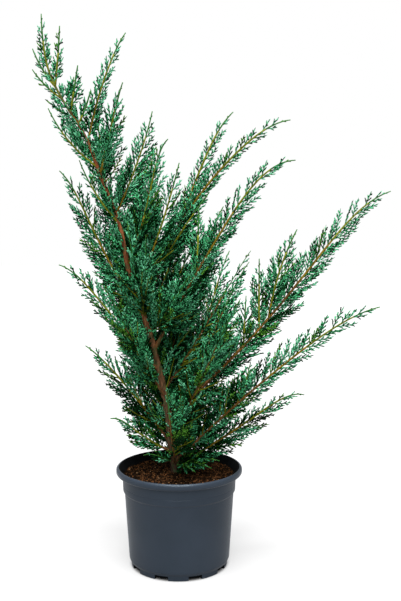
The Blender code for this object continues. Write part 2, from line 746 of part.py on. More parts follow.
def main():
    clear_scene()
    parts = new_collection(PART)
    cutters = new_collection("cutters")
    guides = new_collection("guides")
    green = material("scale_foliage", GREEN, 0.6)
    bark = material("juniper_bark", BARK, 0.85)
    soil_finish = material("potting_soil", SOIL_BROWN, 0.95)
    plastic = material("slate_plastic", SLATE, 0.45)
    tubes = Tubes(guides)
    space = Space()
    tools = (tubes, space)

    pot = make_pot(parts, cutters, plastic)
    soil = make_soil(parts, soil_finish)
    for still in (pot, soil):
        mesh = settled_mesh(still)
        space.add_solid(still.name, mesh)
        bpy.data.meshes.remove(mesh)

    trunk, trunk_path, points, radii = make_trunk(tubes, parts, bark)
    space.add_limb(points, radii)
    space.add_solid("trunk", trunk.data)
    lines = {"trunk": trunk_path}
    seats = {"trunk": limb_cutter("trunk", points, radii, TRUNK_SIDES, tubes, cutters)}

    masses = []
    for row in LIMBS:
        name, parent, place, azimuth, rise, end, nod, length, foot_radius, bare, spread, seed = row
        line = limb_line(point_at(lines[parent], place), azimuth, rise, end, nod, length)
        total = distances(line)[-1]
        if bare > 0:
            limb = f"bough_{name}"
            bough, points, radii = make_bough(limb, line, foot_radius, bare * total, tubes, parts,
                                              bark, seats[parent])
            space.add_limb(points, radii)
            space.add_solid(limb, bough.data)
            lines[limb] = line
            seats[limb] = limb_cutter(limb, points, radii, BOUGH_SIDES, tubes, cutters)
            stem = stretch(line, bare * total + GAP / 2, total, LIMB_STEPS)
            masses.append((Mass(name, stem, STEM_ROOT_RADIUS, spread, seed, tools), None))
        else:
            masses.append((Mass(name, line, foot_radius, spread, seed, tools), seats[parent]))
    leader = Mass("leader", leader_line(trunk_path), TRUNK_TIP_RADIUS, LEADER_SPREAD, LEADER_SEED, tools)
    masses.append((leader, None))

    for mass, seat in masses:
        space.add_home(mass.name, mass.line)
    for mass, seat in masses:
        mass.grow()
    for mass, seat in masses:
        mass.join(parts, green, seat)
    tubes.close()
    for seat in seats.values():
        remove_object(seat)
    bpy.data.collections.remove(guides)


main()
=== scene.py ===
import json
import math

import bpy
import numpy as np
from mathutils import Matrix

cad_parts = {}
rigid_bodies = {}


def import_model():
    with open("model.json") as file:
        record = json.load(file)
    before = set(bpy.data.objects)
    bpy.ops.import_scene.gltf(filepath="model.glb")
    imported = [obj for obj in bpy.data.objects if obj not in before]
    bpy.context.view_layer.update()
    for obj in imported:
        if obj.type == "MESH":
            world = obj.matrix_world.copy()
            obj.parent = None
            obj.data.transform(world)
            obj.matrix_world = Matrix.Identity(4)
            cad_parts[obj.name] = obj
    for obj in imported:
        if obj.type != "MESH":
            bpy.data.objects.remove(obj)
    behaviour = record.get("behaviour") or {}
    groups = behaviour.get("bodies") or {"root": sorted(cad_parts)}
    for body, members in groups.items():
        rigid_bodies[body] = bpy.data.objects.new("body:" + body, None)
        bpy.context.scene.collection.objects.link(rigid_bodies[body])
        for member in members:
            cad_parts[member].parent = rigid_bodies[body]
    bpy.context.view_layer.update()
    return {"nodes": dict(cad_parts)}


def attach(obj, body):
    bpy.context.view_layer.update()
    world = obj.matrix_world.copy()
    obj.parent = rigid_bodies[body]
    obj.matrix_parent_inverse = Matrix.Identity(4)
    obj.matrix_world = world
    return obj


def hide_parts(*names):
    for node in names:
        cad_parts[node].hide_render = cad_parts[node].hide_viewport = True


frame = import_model()
print("juniper: frame with", len(frame["nodes"]), "solids")

up = np.array((0.0, 0.0, 1.0))
goldenTurn = 137.5
depthAxis = np.array((0.0, 1.0, 0.0))  # away from the camera
noiseLength = 509  # steps along after which a noise repeats
view = {"place": (0.0381, -1.497, 0.6241), "tilt": 5.674, "lens": 51.25, "sensor": 36.0}

# Small helpers for whole arrays

def unit(vectors):
    # Each vector over its own length
    return vectors / np.maximum(np.linalg.norm(vectors, axis=-1, keepdims=True), 1e-12)

def squareOff(vectors, axes):
    # What each vector has square to its axis, v - a (v . a), over its length
    return unit(vectors - axes * np.sum(vectors * axes, axis=-1, keepdims=True))

def screen(red, green, blue):
    # 0 to 255 screen values turned into the linear colour that a shader wants
    part = np.array((red, green, blue)) / 255.0
    linear = np.where(part <= 0.04045, part / 12.92, ((part + 0.055) / 1.055) ** 2.4)
    return (*linear.tolist(), 1.0)

def latticeNoise(across, along, cells, seed):
    # Random heights at whole numbers, blended by a smooth step; across closes after its cells
    heights = np.random.default_rng(seed).random((cells, noiseLength)) * 2 - 1
    left, low = np.floor(across).astype(int), np.floor(along).astype(int)
    u, v = across - left, along - low
    u, v = u * u * (3 - 2 * u), v * v * (3 - 2 * v)
    near, far = (heights[left % cells, row % noiseLength] * (1 - u)
                 + heights[(left + 1) % cells, row % noiseLength] * u for row in (low, low + 1))
    return near * (1 - v) + far * v

def roundAngles(columns):
    # Even steps of one full turn
    return np.linspace(0, 2 * math.pi, columns, endpoint=False)

def tubeFaces(rows, columns):
    # Triangles of a closed tube: its rings, then a fan to the foot pole and one to the tip pole
    row, column = np.meshgrid(np.arange(rows - 1), np.arange(columns), indexing="ij")
    beside = (column + 1) % columns
    a, b = row * columns + column, row * columns + beside
    walls = np.stack((a, b, b + columns, a, b + columns, a + columns), axis=-1).reshape(-1, 3)
    ring = np.arange(columns)
    after = (ring + 1) % columns
    last = (rows - 1) * columns
    foot = np.stack((np.full(columns, rows * columns), after, ring), axis=1)
    tip = np.stack((np.full(columns, rows * columns + 1), last + ring, last + after), axis=1)
    return np.vstack((walls, foot, tip))

def joinParts(groups):
    # Groups of parts that share a template of faces, as one array of points and one of triangles
    points, faces, start = [], [], 0
    for parts, template in groups:
        offset = start + np.arange(len(parts)) * parts.shape[1]
        points.append(parts.reshape(-1, 3))
        faces.append((template[None] + offset[:, None, None]).reshape(-1, 3))
        start += parts.shape[0] * parts.shape[1]
    return np.vstack(points), np.vstack(faces)

def putMesh(name, points, faces, finish, slotName, nodes=(), smooth=True):
    # Puts an array of points and one of triangles into a new piece of the plant
    mesh = bpy.data.meshes.new(name)
    mesh.vertices.add(len(points))
    mesh.vertices.foreach_set("co", np.ascontiguousarray(points, dtype=np.float32).ravel())
    mesh.loops.add(faces.size)
    mesh.loops.foreach_set("vertex_index", np.ascontiguousarray(faces, dtype=np.int32).ravel())
    mesh.polygons.add(len(faces))
    mesh.polygons.foreach_set("loop_start", np.arange(0, faces.size, 3, dtype=np.int32))
    mesh.polygons.foreach_set("use_smooth", np.full(len(faces), smooth))
    mesh.materials.append(finish)
    mesh.update(calc_edges=True)
    thing = bpy.data.objects.new(name, mesh)
    bpy.context.scene.collection.objects.link(thing)
    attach(thing, "root")
    if nodes:
        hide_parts(*nodes)
    return thing

# Nodes, and the shader groups that several finishes share

def feed(tree, node, inputs):
    # Sets each input to its value, or links it to the output that is given for it
    for label, value in inputs.items():
        if isinstance(value, bpy.types.NodeSocket):
            tree.links.new(value, node.inputs[label])
        else:
            node.inputs[label].default_value = value

def addNode(tree, kind, inputs, output=0, **settings):
    # A new node with its settings and inputs; what comes back is one of its outputs
    node = tree.nodes.new(f"ShaderNode{kind}")
    for label, value in settings.items():
        setattr(node, label, value)
    feed(tree, node, inputs)
    return node.outputs[output]

def newGroup(name, numbers):
    # A group that takes a place and numbers that may be set, and gives a mask and a height
    group = bpy.data.node_groups.new(name, "ShaderNodeTree")
    group.interface.new_socket(name="Place", in_out="INPUT", socket_type="NodeSocketVector")
    for label, value in numbers.items():
        socket = group.interface.new_socket(name=label, in_out="INPUT", socket_type="NodeSocketFloat")
        socket.default_value = value
    for label in ("Mask", "Height"):
        group.interface.new_socket(name=label, in_out="OUTPUT", socket_type="NodeSocketFloat")
    return group, group.nodes.new("NodeGroupInput").outputs, group.nodes.new("NodeGroupOutput")

def raiseContrast(tree, mask, contrast):
    # (mask - 0.5) times the contrast, plus 0.5, kept between 0 and 1
    centred = addNode(tree, "Math", {0: mask, 1: 0.5}, operation="SUBTRACT")
    return addNode(tree, "Math", {0: centred, 1: contrast, 2: 0.5}, operation="MULTIPLY_ADD",
                   use_clamp=True)

def makeMottle():
    # Soft blotches with finer ones on them: two noises mixed, stretched to a mask from 0 to 1
    group, given, out = newGroup("mottle", {"Blotch": 60.0, "Speck": 400.0, "Speck share": 0.4,
                                            "Contrast": 2.0})
    blotch, speck = (addNode(group, "TexNoise", {"Vector": given["Place"], "Scale": given[label],
                                                 "Detail": detail})
                     for label, detail in (("Blotch", 2.0), ("Speck", 3.0)))
    mixed = addNode(group, "Mix", {0: given["Speck share"], 2: blotch, 3: speck})
    mask = raiseContrast(group, mixed, given["Contrast"])
    feed(group, out, {"Mask": mask, "Height": speck})
    return group

def makeFibres():
    # Long fibres up the surface: noise on coordinates squeezed along Z
    group, given, out = newGroup("fibres", {"Scale": 500.0, "Squeeze": 0.12, "Contrast": 2.4})
    x, y, z = addNode(group, "SeparateXYZ", {0: given["Place"]}).node.outputs
    squeezed = addNode(group, "Math", {0: z, 1: given["Squeeze"]}, operation="MULTIPLY")
    place = addNode(group, "CombineXYZ", {0: x, 1: y, 2: squeezed})
    noise = addNode(group, "TexNoise", {"Vector": place, "Scale": given["Scale"], "Detail": 4.0,
                                        "Distortion": 0.6})
    mask = raiseContrast(group, noise, given["Contrast"])
    feed(group, out, {"Mask": mask, "Height": noise})
    return group

mottle = makeMottle()
fibres = makeFibres()

# Finishes

def newFinish(name, roughness, gloss):
    # A material, its nodes, its shader and its Object coordinates
    made = bpy.data.materials.new(name)
    made.use_nodes = True
    tree = made.node_tree
    shader = tree.nodes["Principled BSDF"]
    feed(tree, shader, {"Roughness": roughness, "Specular IOR Level": gloss})
    return made, tree, shader, addNode(tree, "TexCoord", {}, "Object")

def useGroup(tree, place, group, values):
    # A shared group in a finish, with this finish's own values: its mask and its height
    return addNode(tree, "Group", {"Place": place, **values}, node_tree=group).node.outputs

def blendColours(tree, factor, low, high, way="MIX"):
    # Two colours, or the outputs that carry them, mixed or multiplied by a factor
    return addNode(tree, "Mix", {0: factor, 6: low, 7: high}, 2, data_type="RGBA", blend_type=way)

def dressShader(tree, shader, colour, mask, height, look):
    # The colour, a roughness that goes from one value to another with the mask, and the relief
    low, high = look["span"]
    feed(tree, shader, {
        "Base Color": colour,
        "Roughness": addNode(tree, "MapRange", {"Value": mask, "To Min": low, "To Max": high}),
        "Normal": addNode(tree, "Bump", {"Height": height, "Strength": look["bump"],
                                         "Distance": look["depth"]})})

mottled = {  # what a mottled finish has where it names nothing else
    "roughness": 0.6, "swing": 0.08, "gloss": 0.07, "bump": 0.3, "depth": 0.0004,
    "mottle": {"Blotch": 70.0, "Speck": 900.0, "Speck share": 0.45, "Contrast": 2.4},
}

def mottledFinish(name, low, high, **changes):
    # Two tones dealt out by blotches, with the specks as relief
    look = {**mottled, **changes}
    rough, swing = look["roughness"], look["swing"]
    made, tree, shader, place = newFinish(name, rough, look["gloss"])
    mask, height = useGroup(tree, place, mottle, {**mottled["mottle"], **look["mottle"]})
    dressShader(tree, shader, blendColours(tree, mask, low, high), mask, height,
                {**look, "span": (rough + swing, rough - swing)})
    return made

leafTones = {  # dark and light tone of each kind of spray
    "bloom": (screen(14, 80, 44), screen(126, 220, 172)),
    "sea": (screen(0, 42, 10), screen(90, 198, 136)),
    # near black: painted shade for sprays inside the crown and low over the soil
    "shaded": (screen(0, 14, 0), screen(8, 66, 24)),
    "moss": (screen(6, 40, 2), screen(94, 158, 54)),
    "fresh": (screen(54, 112, 44), screen(116, 164, 84)),
}
stemTones = {  # the same for twigs, from the old wood to the tip
    "russet": (screen(84, 60, 26), screen(150, 108, 56)),
    "amber": (screen(104, 82, 18), screen(172, 144, 42)),
    "olive": (screen(88, 92, 14), screen(156, 164, 46)),
    "green": (screen(36, 100, 40), screen(84, 146, 66)),
}
leafMottle = {"Blotch": 130.0, "Speck": 330.0, "Speck share": 0.84, "Contrast": 9.5}
finishes = {name: mottledFinish(f"{name}_sprays", *tones, roughness=0.52, mottle=leafMottle)
            for name, tones in leafTones.items()}
finishes.update({name: mottledFinish(f"{name}_twigs", *tones)
                 for name, tones in stemTones.items()})

barkLook = {
    "roughness": 0.8, "span": (0.92, 0.68), "gloss": 0.3, "bump": 0.7, "depth": 0.0012,
    "strands": {"Scale": 420.0, "Squeeze": 0.16, "Contrast": 3.2},
    "streaksAndShade": ((0.30, 0.30, 0.30, 1.0), (1.35, 1.35, 1.35, 1.0)),  # the strands' own streaks, darkened between strands as painted shade and lightened on them as painted light
    "patches": {"Blotch": 45.0, "Speck": 260.0, "Speck share": 0.5, "Contrast": 3.0},
    "shades": ((0.78, 0.8, 0.78, 1.0), (1.15, 1.12, 1.1, 1.0)),
    "lichen": {"Blotch": 95.0, "Speck": 300.0, "Speck share": 0.35, "Contrast": 9.0},
    "lichenCover": {"From Min": 0.80, "From Max": 1.0, "To Max": 0.45},
    "lichenTone": screen(62, 96, 56),
    "trunkStops": (  # height and tone
        # darker towards the soil: painted shade on the trunk's foot
        (0.17, screen(58, 40, 28)), (0.30, screen(128, 92, 64)), (0.45, screen(150, 98, 62)),
        (0.62, screen(162, 90, 52)), (0.775, screen(156, 86, 46)), (0.81, screen(128, 116, 36)),
        (0.90, screen(112, 136, 52))),
    "boughStops": (  # distance from the pot's axis and tone
        (0.01, screen(132, 84, 54)), (0.06, screen(160, 104, 54)), (0.14, screen(178, 124, 50))),
}

def barkFinish(name, stops, byHeight):
    # Fibrous bark: its stops' colours by height or by distance from the pot's axis, times the
    # streaks of its strands, with painted shade where their relief is low and painted light where
    # it is high, and the shades of its patches, with flecks of lichen on it
    made, tree, shader, place = newFinish(name, barkLook["roughness"], barkLook["gloss"])
    strands, relief = useGroup(tree, place, fibres, barkLook["strands"])
    patches = useGroup(tree, place, mottle, barkLook["patches"])["Mask"]
    lichen = useGroup(tree, place, mottle, barkLook["lichen"])["Mask"]
    if byHeight:
        amount = addNode(tree, "SeparateXYZ", {0: place}, 2)
    else:
        flat = addNode(tree, "VectorMath", {0: place, 1: (1.0, 1.0, 0.0)}, operation="MULTIPLY")
        amount = addNode(tree, "VectorMath", {0: flat}, "Value", operation="LENGTH")
    colour = addNode(tree, "ValToRGB", {0: amount})
    steps = colour.node.color_ramp.elements
    for count, (at, tone) in enumerate(stops):
        step = steps[count] if count < 2 else steps.new(at)
        step.position, step.color = at, tone
    # the strands' mask darkens the fissures and lightens the ridges: painted shade and light of the relief;
    # the patches' shades are random
    for mask, label in ((strands, "streaksAndShade"), (patches, "shades")):
        shade = blendColours(tree, mask, *barkLook[label])
        colour = blendColours(tree, 1.0, colour, shade, "MULTIPLY")
    fleck = addNode(tree, "MapRange", {"Value": lichen, **barkLook["lichenCover"]})
    colour = blendColours(tree, fleck, colour, barkLook["lichenTone"])
    dressShader(tree, shader, colour, strands, relief, barkLook)
    return made

trunkBark = barkFinish("trunk_bark", barkLook["trunkStops"], True)
boughBark = barkFinish("bough_bark", barkLook["boughStops"], False)
print("juniper: finishes")

# The growth rule: the trunk's lean, the limbs' rise, and shoots set by the golden turn

trunk = {
    "leans": (10, 7, 11, 16, 21, 6, 24, 18, 35, 22),  # degrees from upright at equal steps
    "step": 0.0820,
    "foot": -0.005,
    "radius": 0.0078,
    "tipRadius": 0.0016,
    "flare": 0.0022,
    "flareHeight": 0.022,
    "taper": 0.9,
    "leaderLength": 0.101,
    "leaderSpread": 0.009,
}
soilTop = 0.166
solidGap = 0.0003
limbSteps = 40
directionReach = 0.004  # how far before and after a place its direction is read
foliageFrom = 0.35  # of a limb's bare stretch, from where its first shoots stand

# name, parent, place along it, azimuth, rise at foot, rise at end, nod, length, foot radius,
# bare share, spread of its foliage
sourceLimbs = (
    ("right_main", "trunk", 0.101, 5, 40, 60, -43, 0.568, 0.0048, 0.46, 0.059),
    ("right_rise", "right_main", 0.252, 12, 82, 62, 0, 0.166, 0.0022, 0, 0.038),
    ("right_inner", "right_main", 0.226, 90, 84, 90, 0, 0.125, 0.0022, 0, 0.054),
    ("right_long", "trunk", 0.226, -22, 60, 56, -57, 0.423, 0.0040, 0.18, 0.053),
    ("right_low", "trunk", 0.018, -25, 46, 37, -21, 0.472, 0.0042, 0.18, 0.038),
    ("right_bottom", "trunk", 0.012, 22, 22, 35, -55, 0.286, 0.0032, 0.18, 0.055),
    ("right_high", "trunk", 0.298, 20, 65, 69, -28, 0.392, 0.0038, 0.46, 0.029),
    ("right_fork", "right_high", 0.145, -12, 60, 34, -30, 0.290, 0.0030, 0.16, 0.026),
    ("left_high", "trunk", 0.282, 168, 54, 71, -30, 0.304, 0.0034, 0.16, 0.041),
    ("left_mid", "trunk", 0.185, 200, 49, 54, -36, 0.263, 0.0032, 0.16, 0.034),
    ("left_low", "trunk", 0.050, 165, 53, 43, -13, 0.239, 0.0034, 0.16, 0.067),
    ("left_bottom", "trunk", 0.037, 197, 26, 50, -60, 0.134, 0.0024, 0.18, 0.055),
    ("front_tall", "trunk", 0.085, -34, 60, 66, -16, 0.340, 0.0034, 0.16, 0.055),
    ("front_right", "trunk", 0.056, -52, 55, 58, -10, 0.330, 0.0034, 0.16, 0.084),
    ("front_low", "trunk", 0.016, -92, 36, 52, -20, 0.270, 0.0032, 0.18, 0.065),
    ("front_left", "trunk", 0.140, -125, 48, 60, -18, 0.270, 0.0030, 0.16, 0.065),
    ("back_right", "trunk", 0.066, 62, 52, 60, -20, 0.400, 0.0040, 0.16, 0.101),
    ("back_left", "trunk", 0.112, 118, 50, 62, -20, 0.380, 0.0038, 0.16, 0.098),
    ("back_tall", "trunk", 0.170, 48, 60, 67, -20, 0.350, 0.0034, 0.16, 0.089),
    ("back_high", "trunk", 0.240, 105, 58, 68, -16, 0.310, 0.0032, 0.16, 0.086),
    ("back_low", "trunk", 0.022, 88, 30, 46, -30, 0.300, 0.0034, 0.18, 0.084),
    ("back_crown", "trunk", 0.330, 130, 60, 72, -10, 0.250, 0.0028, 0.16, 0.074),
    ("mid_right", "trunk", 0.150, 24, 52, 60, -10, 0.300, 0.0026, 0.16, 0.049),
    ("front_high", "trunk", 0.278, -118, 66, 78, 0, 0.185, 0.0022, 0, 0.070),
    ("front_reach", "trunk", 0.250, -46, 45, 52, 0, 0.175, 0.0022, 0, 0.072),
    ("crown_front", "trunk", 0.380, -38, 61, 83, -50, 0.236, 0.0022, 0, 0.040),
    ("crown_mid", "trunk", 0.330, -8, 66, 76, 0, 0.240, 0.0022, 0, 0.060),
    ("crown_back", "trunk", 0.350, 52, 72, 80, 0, 0.245, 0.0022, 0, 0.070),
    ("crown_right", "trunk", 0.474, 15, 64, 75, 3, 0.189, 0.0020, 0, 0.055),
    ("crown_left", "trunk", 0.455, 184, 46, 70, 0, 0.130, 0.0020, 0, 0.037),
    ("spire_front", "trunk", 0.547, -40, 69, 72, -12, 0.161, 0.0018, 0, 0.049),
    ("spire_back", "trunk", 0.520, 110, 60, 74, 0, 0.150, 0.0018, 0, 0.043),
    ("spire_right", "trunk", 0.606, 30, 78, 62, -9, 0.206, 0.0018, 0, 0.028),
    ("spire_left", "trunk", 0.560, 190, 34, 66, 0, 0.130, 0.0016, 0, 0.034),
    ("spire_tip", "trunk", 0.664, -20, 79, 79, 0, 0.080, 0.0014, 0, 0.022),
)
# twigs of the same kind that fill what the photo shows between the masses
fillTwigs = (
    ("soil_right", "trunk", 0.012, -30, 24, 8, -24, 0.094, 0.0018, 0, 0.060),
    ("soil_front", "trunk", 0.010, -66, 26, 8, -30, 0.066, 0.0016, 0, 0.038),
    ("soil_left", "trunk", 0.016, 205, 34, 14, -40, 0.066, 0.0016, 0, 0.036),
    ("tip_twin", "trunk", 0.716, -10, 82, 87, 0, 0.100, 0.0013, 0, 0.014),
    ("tip_left", "trunk", 0.712, 180, 48, 70, 0, 0.077, 0.0012, 0, 0.004),
    ("tip_side", "trunk", 0.691, 180, 33, 56, 0, 0.071, 0.0012, 0, 0.004),
    ("tip_mid", "trunk", 0.680, 20, 64, 80, 0, 0.050, 0.0013, 0, 0.010),
    ("spire_mid", "trunk", 0.640, -10, 62, 74, 0, 0.062, 0.0013, 0, 0.026),
    ("front_sprig", "trunk", 0.285, -80, 68, 90, 0, 0.150, 0.0014, 0, 0.026),
    ("foot_sprig", "trunk", 0.050, -50, 58, 56, 0, 0.104, 0.0015, 0, 0.024),
    ("gap_back", "trunk", 0.270, 50, 58, 64, 0, 0.190, 0.0018, 0, 0.070),
    ("gap_mid", "trunk", 0.255, 36, 56, 62, 0, 0.190, 0.0016, 0, 0.056),
    ("gap_low", "trunk", 0.255, 62, 48, 58, 0, 0.215, 0.0018, 0, 0.062),
    ("long_inner", "right_long", 0.160, 80, 78, 84, 0, 0.110, 0.0016, 0, 0.034),
    ("high_inner", "right_high", 0.090, -8, 60, 52, 0, 0.150, 0.0018, 0, 0.040),
    ("low_inner", "right_low", 0.110, 8, 60, 48, 0, 0.130, 0.0018, 0, 0.036),
    ("main_inner", "right_main", 0.185, 60, 84, 84, 0, 0.090, 0.0016, 0, 0.042),
    ("soil_low", "trunk", 0.018, -38, 14, -6, -10, 0.084, 0.0016, 0, 0.044),
    ("soil_near", "trunk", 0.014, -62, 14, -2, -8, 0.078, 0.0016, 0, 0.040),
)
limbKeys = ("name", "parent", "place", "azimuth", "rise", "end", "nod", "length", "footRadius",
            "bare", "spread")
limbs = [dict(zip(limbKeys, row)) for row in sourceLimbs + fillTwigs]

def trunkLine():
    # The lean is read smoothly between its steps, and the points follow it at even distances
    count = limbSteps * 2
    leans = trunk["leans"]
    lean = np.radians(np.interp(np.linspace(0, len(leans) - 1, count), np.arange(len(leans)), leans))
    step = trunk["step"] * (len(leans) - 1) / (count - 1)
    middle = (lean[1:] + lean[:-1]) / 2
    across = trunk["foot"] - np.concatenate(([0.0], np.cumsum(np.sin(middle)) * step))
    height = soilTop + solidGap + np.concatenate(([0.0], np.cumsum(np.cos(middle)) * step))
    return np.stack((across, np.zeros(count), height), axis=1)

def limbLine(foot, limb):
    # The rise changes evenly from foot to end, and the last stretch nods by the eighth power
    share = (np.arange(limbSteps) + 0.5) / limbSteps
    climb = np.radians(limb["rise"] + (limb["end"] - limb["rise"]) * share + limb["nod"] * share ** 8)
    bearing = math.radians(limb["azimuth"])
    steps = np.stack((np.cos(climb) * math.cos(bearing), np.cos(climb) * math.sin(bearing),
                      np.sin(climb)), axis=1)
    return np.vstack((foot, foot + np.cumsum(steps, axis=0) * limb["length"] / limbSteps))

def leaderLine(line):
    # From the trunk's last lean, straightening by a square root
    share = (np.arange(limbSteps) + 0.5) / limbSteps
    lean = np.radians(trunk["leans"][-1] * (1.0 - np.sqrt(share)))
    steps = np.stack((-np.sin(lean), np.zeros(limbSteps), np.cos(lean)), axis=1)
    return np.vstack((line[-1], line[-1] + np.cumsum(steps, axis=0) * trunk["leaderLength"] / limbSteps))

def lineLength(line):
    # The steps of a line added up
    return float(np.linalg.norm(np.diff(line, axis=0), axis=1).sum())

def readLine(line, places):
    # Points of a line at distances along it, and the line's direction there
    reach = np.concatenate(([0.0], np.cumsum(np.linalg.norm(np.diff(line, axis=0), axis=1))))
    near, far = (np.clip(places + off, 0, reach[-1]) for off in (-directionReach, directionReach))
    at, before, after = (np.stack([np.interp(p, reach, line[:, axis]) for axis in range(3)], axis=-1)
                         for p in (places, near, far))
    return at, unit(after - before)

trunkPath = trunkLine()
lines = {"trunk": trunkPath}
for limb in limbs:
    root = readLine(lines[limb["parent"]], np.array([limb["place"]]))[0][0]
    lines[limb["name"]] = limbLine(root, limb)
lines["leader"] = leaderLine(trunkPath)
print("juniper:", len(lines), "limbs follow the rule")

# Trunk and boughs with bark relief

bark = {
    "trunkRows": 300, "trunkColumns": 56, "boughColumns": 16, "boughPitch": 0.0035, "leastRows": 12,
    "trunkPlates": 9, "boughPlates": 5,  # how many lie round a limb
    "trunkSeed": 11, "boughSeed": 40,
    "plates": 0.0009, "plateLength": 0.018,
    "fissures": 0.0005, "fissureLength": 0.009, "grainLength": 0.004, "fine": 0.6,
    "lobes": (0.45, 0.25), "lobeTurn": 0.7,  # of the root flare: three broad and five narrow ones
    "leastRelief": 0.25,  # towards the trunk's tip
    "collar": 0.35, "collarPlace": 0.006, "collarLength": 0.012,
    "boughGirth": 0.86, "boughEnd": 0.0022, "boughRelief": 0.35,
}

def barkRelief(angle, along, plates, seed):
    # Long plates, thin fissures (one less twice the size of a noise) and grain: three noises
    # stretched along the limb, each with its own depth
    turn = angle / (2 * math.pi)
    broad = latticeNoise(turn * plates, along / bark["plateLength"] + 3 * turn, plates, seed)
    ridges = latticeNoise(turn * plates * 2, along / bark["fissureLength"] + 5 * turn, plates * 2,
                          seed + 1)
    grain = latticeNoise(turn * plates * 4, along / bark["grainLength"], plates * 4, seed + 2)
    fine = (1 - np.abs(ridges) * 2) * bark["fine"] + grain * bark["fine"]
    return bark["plates"] * broad + bark["fissures"] * fine

def limbTube(points, directions, level, radii):
    # Rings of radii (rows, columns) round a path, with a pole at either end
    columns = radii.shape[1]
    angle = roundAngles(columns)[None, :, None]
    side = np.cross(directions, level)[:, None]
    ring = points[:, None] + radii[:, :, None] * (level * np.cos(angle) + side * np.sin(angle))
    return np.vstack((ring.reshape(-1, 3), points[:1], points[-1:])), tubeFaces(len(points), columns)

def growTrunk():
    # A tapering trunk with a lobed root flare; its girth follows the same taper as its solid
    total = lineLength(trunkPath)
    along = np.linspace(0, total, bark["trunkRows"])
    points, directions = readLine(trunkPath, along)
    points[0, 2] = soilTop + solidGap
    angle = roundAngles(bark["trunkColumns"])[None]
    taper = (along / total) ** trunk["taper"]
    girth = trunk["radius"] + (trunk["tipRadius"] - trunk["radius"]) * taper
    flare = np.maximum(0.0, 1.0 - along / trunk["flareHeight"])[:, None] ** 2
    broad, narrow = bark["lobes"]
    lobes = 1.0 + broad * np.cos(3 * angle + bark["lobeTurn"]) + narrow * np.cos(5 * angle)
    radii = girth[:, None] + trunk["flare"] * flare * lobes
    strength = np.clip(girth / trunk["radius"], bark["leastRelief"], 1.0)[:, None]
    relief = barkRelief(angle, along[:, None], bark["trunkPlates"], bark["trunkSeed"])
    verts, faces = limbTube(points, directions, depthAxis, radii + relief * strength)
    putMesh("trunk_bark", verts, faces, trunkBark, "bark", ("trunk",))

def growBough(limb, seed):
    # A bough from inside its parent to where its foliage starts: an even taper, a collar that
    # swells as a bell curve, and the bark's relief
    line, foot, name = lines[limb["name"]], limb["footRadius"], f"bough_{limb['name']}"
    split = lineLength(line) * limb["bare"]
    along = np.linspace(0, split, max(bark["leastRows"], int(split / bark["boughPitch"])))
    points, directions = readLine(line, along)
    angle = roundAngles(bark["boughColumns"])[None]
    girth = bark["boughGirth"] * (foot + (bark["boughEnd"] - foot) * along / split)
    swell = np.exp(-((along - bark["collarPlace"]) / bark["collarLength"]) ** 2)
    relief = barkRelief(angle, along[:, None], bark["boughPlates"], seed) * bark["boughRelief"]
    radii = (girth * (1.0 + bark["collar"] * swell))[:, None] + relief
    level = unit(np.cross(directions.mean(axis=0), up))
    verts, faces = limbTube(points, directions, level, radii)
    putMesh(f"{name}_bark", verts, faces, boughBark, "bark", (name,))

growTrunk()
for count, limb in enumerate(limbs):
    if limb["bare"] > 0:
        growBough(limb, bark["boughSeed"] + count * 3)
print("juniper: trunk and boughs with bark")

# Shoots: each is a curve root + run s + bend s^2 for s from 0 to 1, held as whole arrays

leafKinds = tuple(leafTones)
shootSides = 3
pieceFaces = 190000
homeCount = 24  # points that stand for the line of a mass
keepOut = {
    "stops": np.linspace(0.3, 1.0, 8),  # shares of a shoot at which it is tested
    "spacing": -0.009,  # how far a shoot stays on its own side
    "rimTop": 0.184, "outside": 0.118, "inside": 0.092, "overSoil": 0.007,  # round the pot's rim
    "crossing": 0.25,  # share of the shoots that cross an open strip all the same
    "stripPitch": 0.003, "inFront": 0.001,
}
# wood that the photo shows bare: line, from where to where, half the width of the strip
openings = (("trunk", 0.0, 0.250, 0.0075), ("trunk", 0.370, 0.450, 0.0045),
            ("right_main", 0.04, 0.17, 0.0042))

def shootSet(root, direction, ahead, face, length, look, radius, kind):
    # Curves that leave along a direction and bend towards the parent's direction and upwards
    pull = direction + ahead * look["forward"] + up * look["lift"]
    reach = unit(pull)
    stretch = 1.0 / np.linalg.norm(pull, axis=-1, keepdims=True)
    run = direction * stretch * length[:, None]
    return {"root": root, "run": run, "bend": reach * length[:, None] - run,
            "face": squareOff(face, reach), "length": length, "radius": radius, "kind": kind}

def joinSets(sets):
    # Several sets of shoots as one
    return {key: np.concatenate([one[key] for one in sets]) for key in sets[0]}

def pickFrom(shoots, chosen):
    # The chosen shoots of a set
    return {key: values[chosen] for key, values in shoots.items()}

def curvesAt(shoots, stops):
    # Points of every shoot at the same stops s, and its direction there, run + 2 bend s
    s = np.array(stops)[:, None]
    root, run, bend = (shoots[key][:, None] for key in ("root", "run", "bend"))
    return root + run * s + bend * s ** 2, unit(run + 2 * bend * s)

def placesAlong(lengths, look):
    # Places a pitch apart on every shoot at once: their owner, their number and the distance
    count = np.floor((lengths - look["last"] - look["first"]) / look["pitch"]).astype(int) + 1
    count = np.maximum(0, count)
    owner = np.repeat(np.arange(len(lengths)), count)
    order = np.arange(count.sum()) - np.repeat(np.cumsum(count) - count, count)
    return owner, order, look["first"] + order * look["pitch"]

def twoRanks(shoots, owner, order, share, sway, random):
    # Left and right by turns in the plane of each owner, swayed out of it at random: the point on
    # the owner, which way it runs there, and the side
    share = share[:, None]
    root, run, bend, face = (shoots[key][owner] for key in ("root", "run", "bend", "face"))
    ahead = unit(run + 2 * bend * share)
    hand = np.where(order % 2 == 0, 1.0, -1.0)[:, None]
    across = np.cross(face, ahead) * hand + face * random.normal(0, sway, (len(owner), 1))
    return root + run * share + bend * share ** 2, ahead, across

def sideDirections(ahead, across, degrees):
    # Between two directions, at an angle from the first
    angles = np.radians(degrees)[:, None]
    return unit(ahead * np.cos(angles) + unit(across) * np.sin(angles))

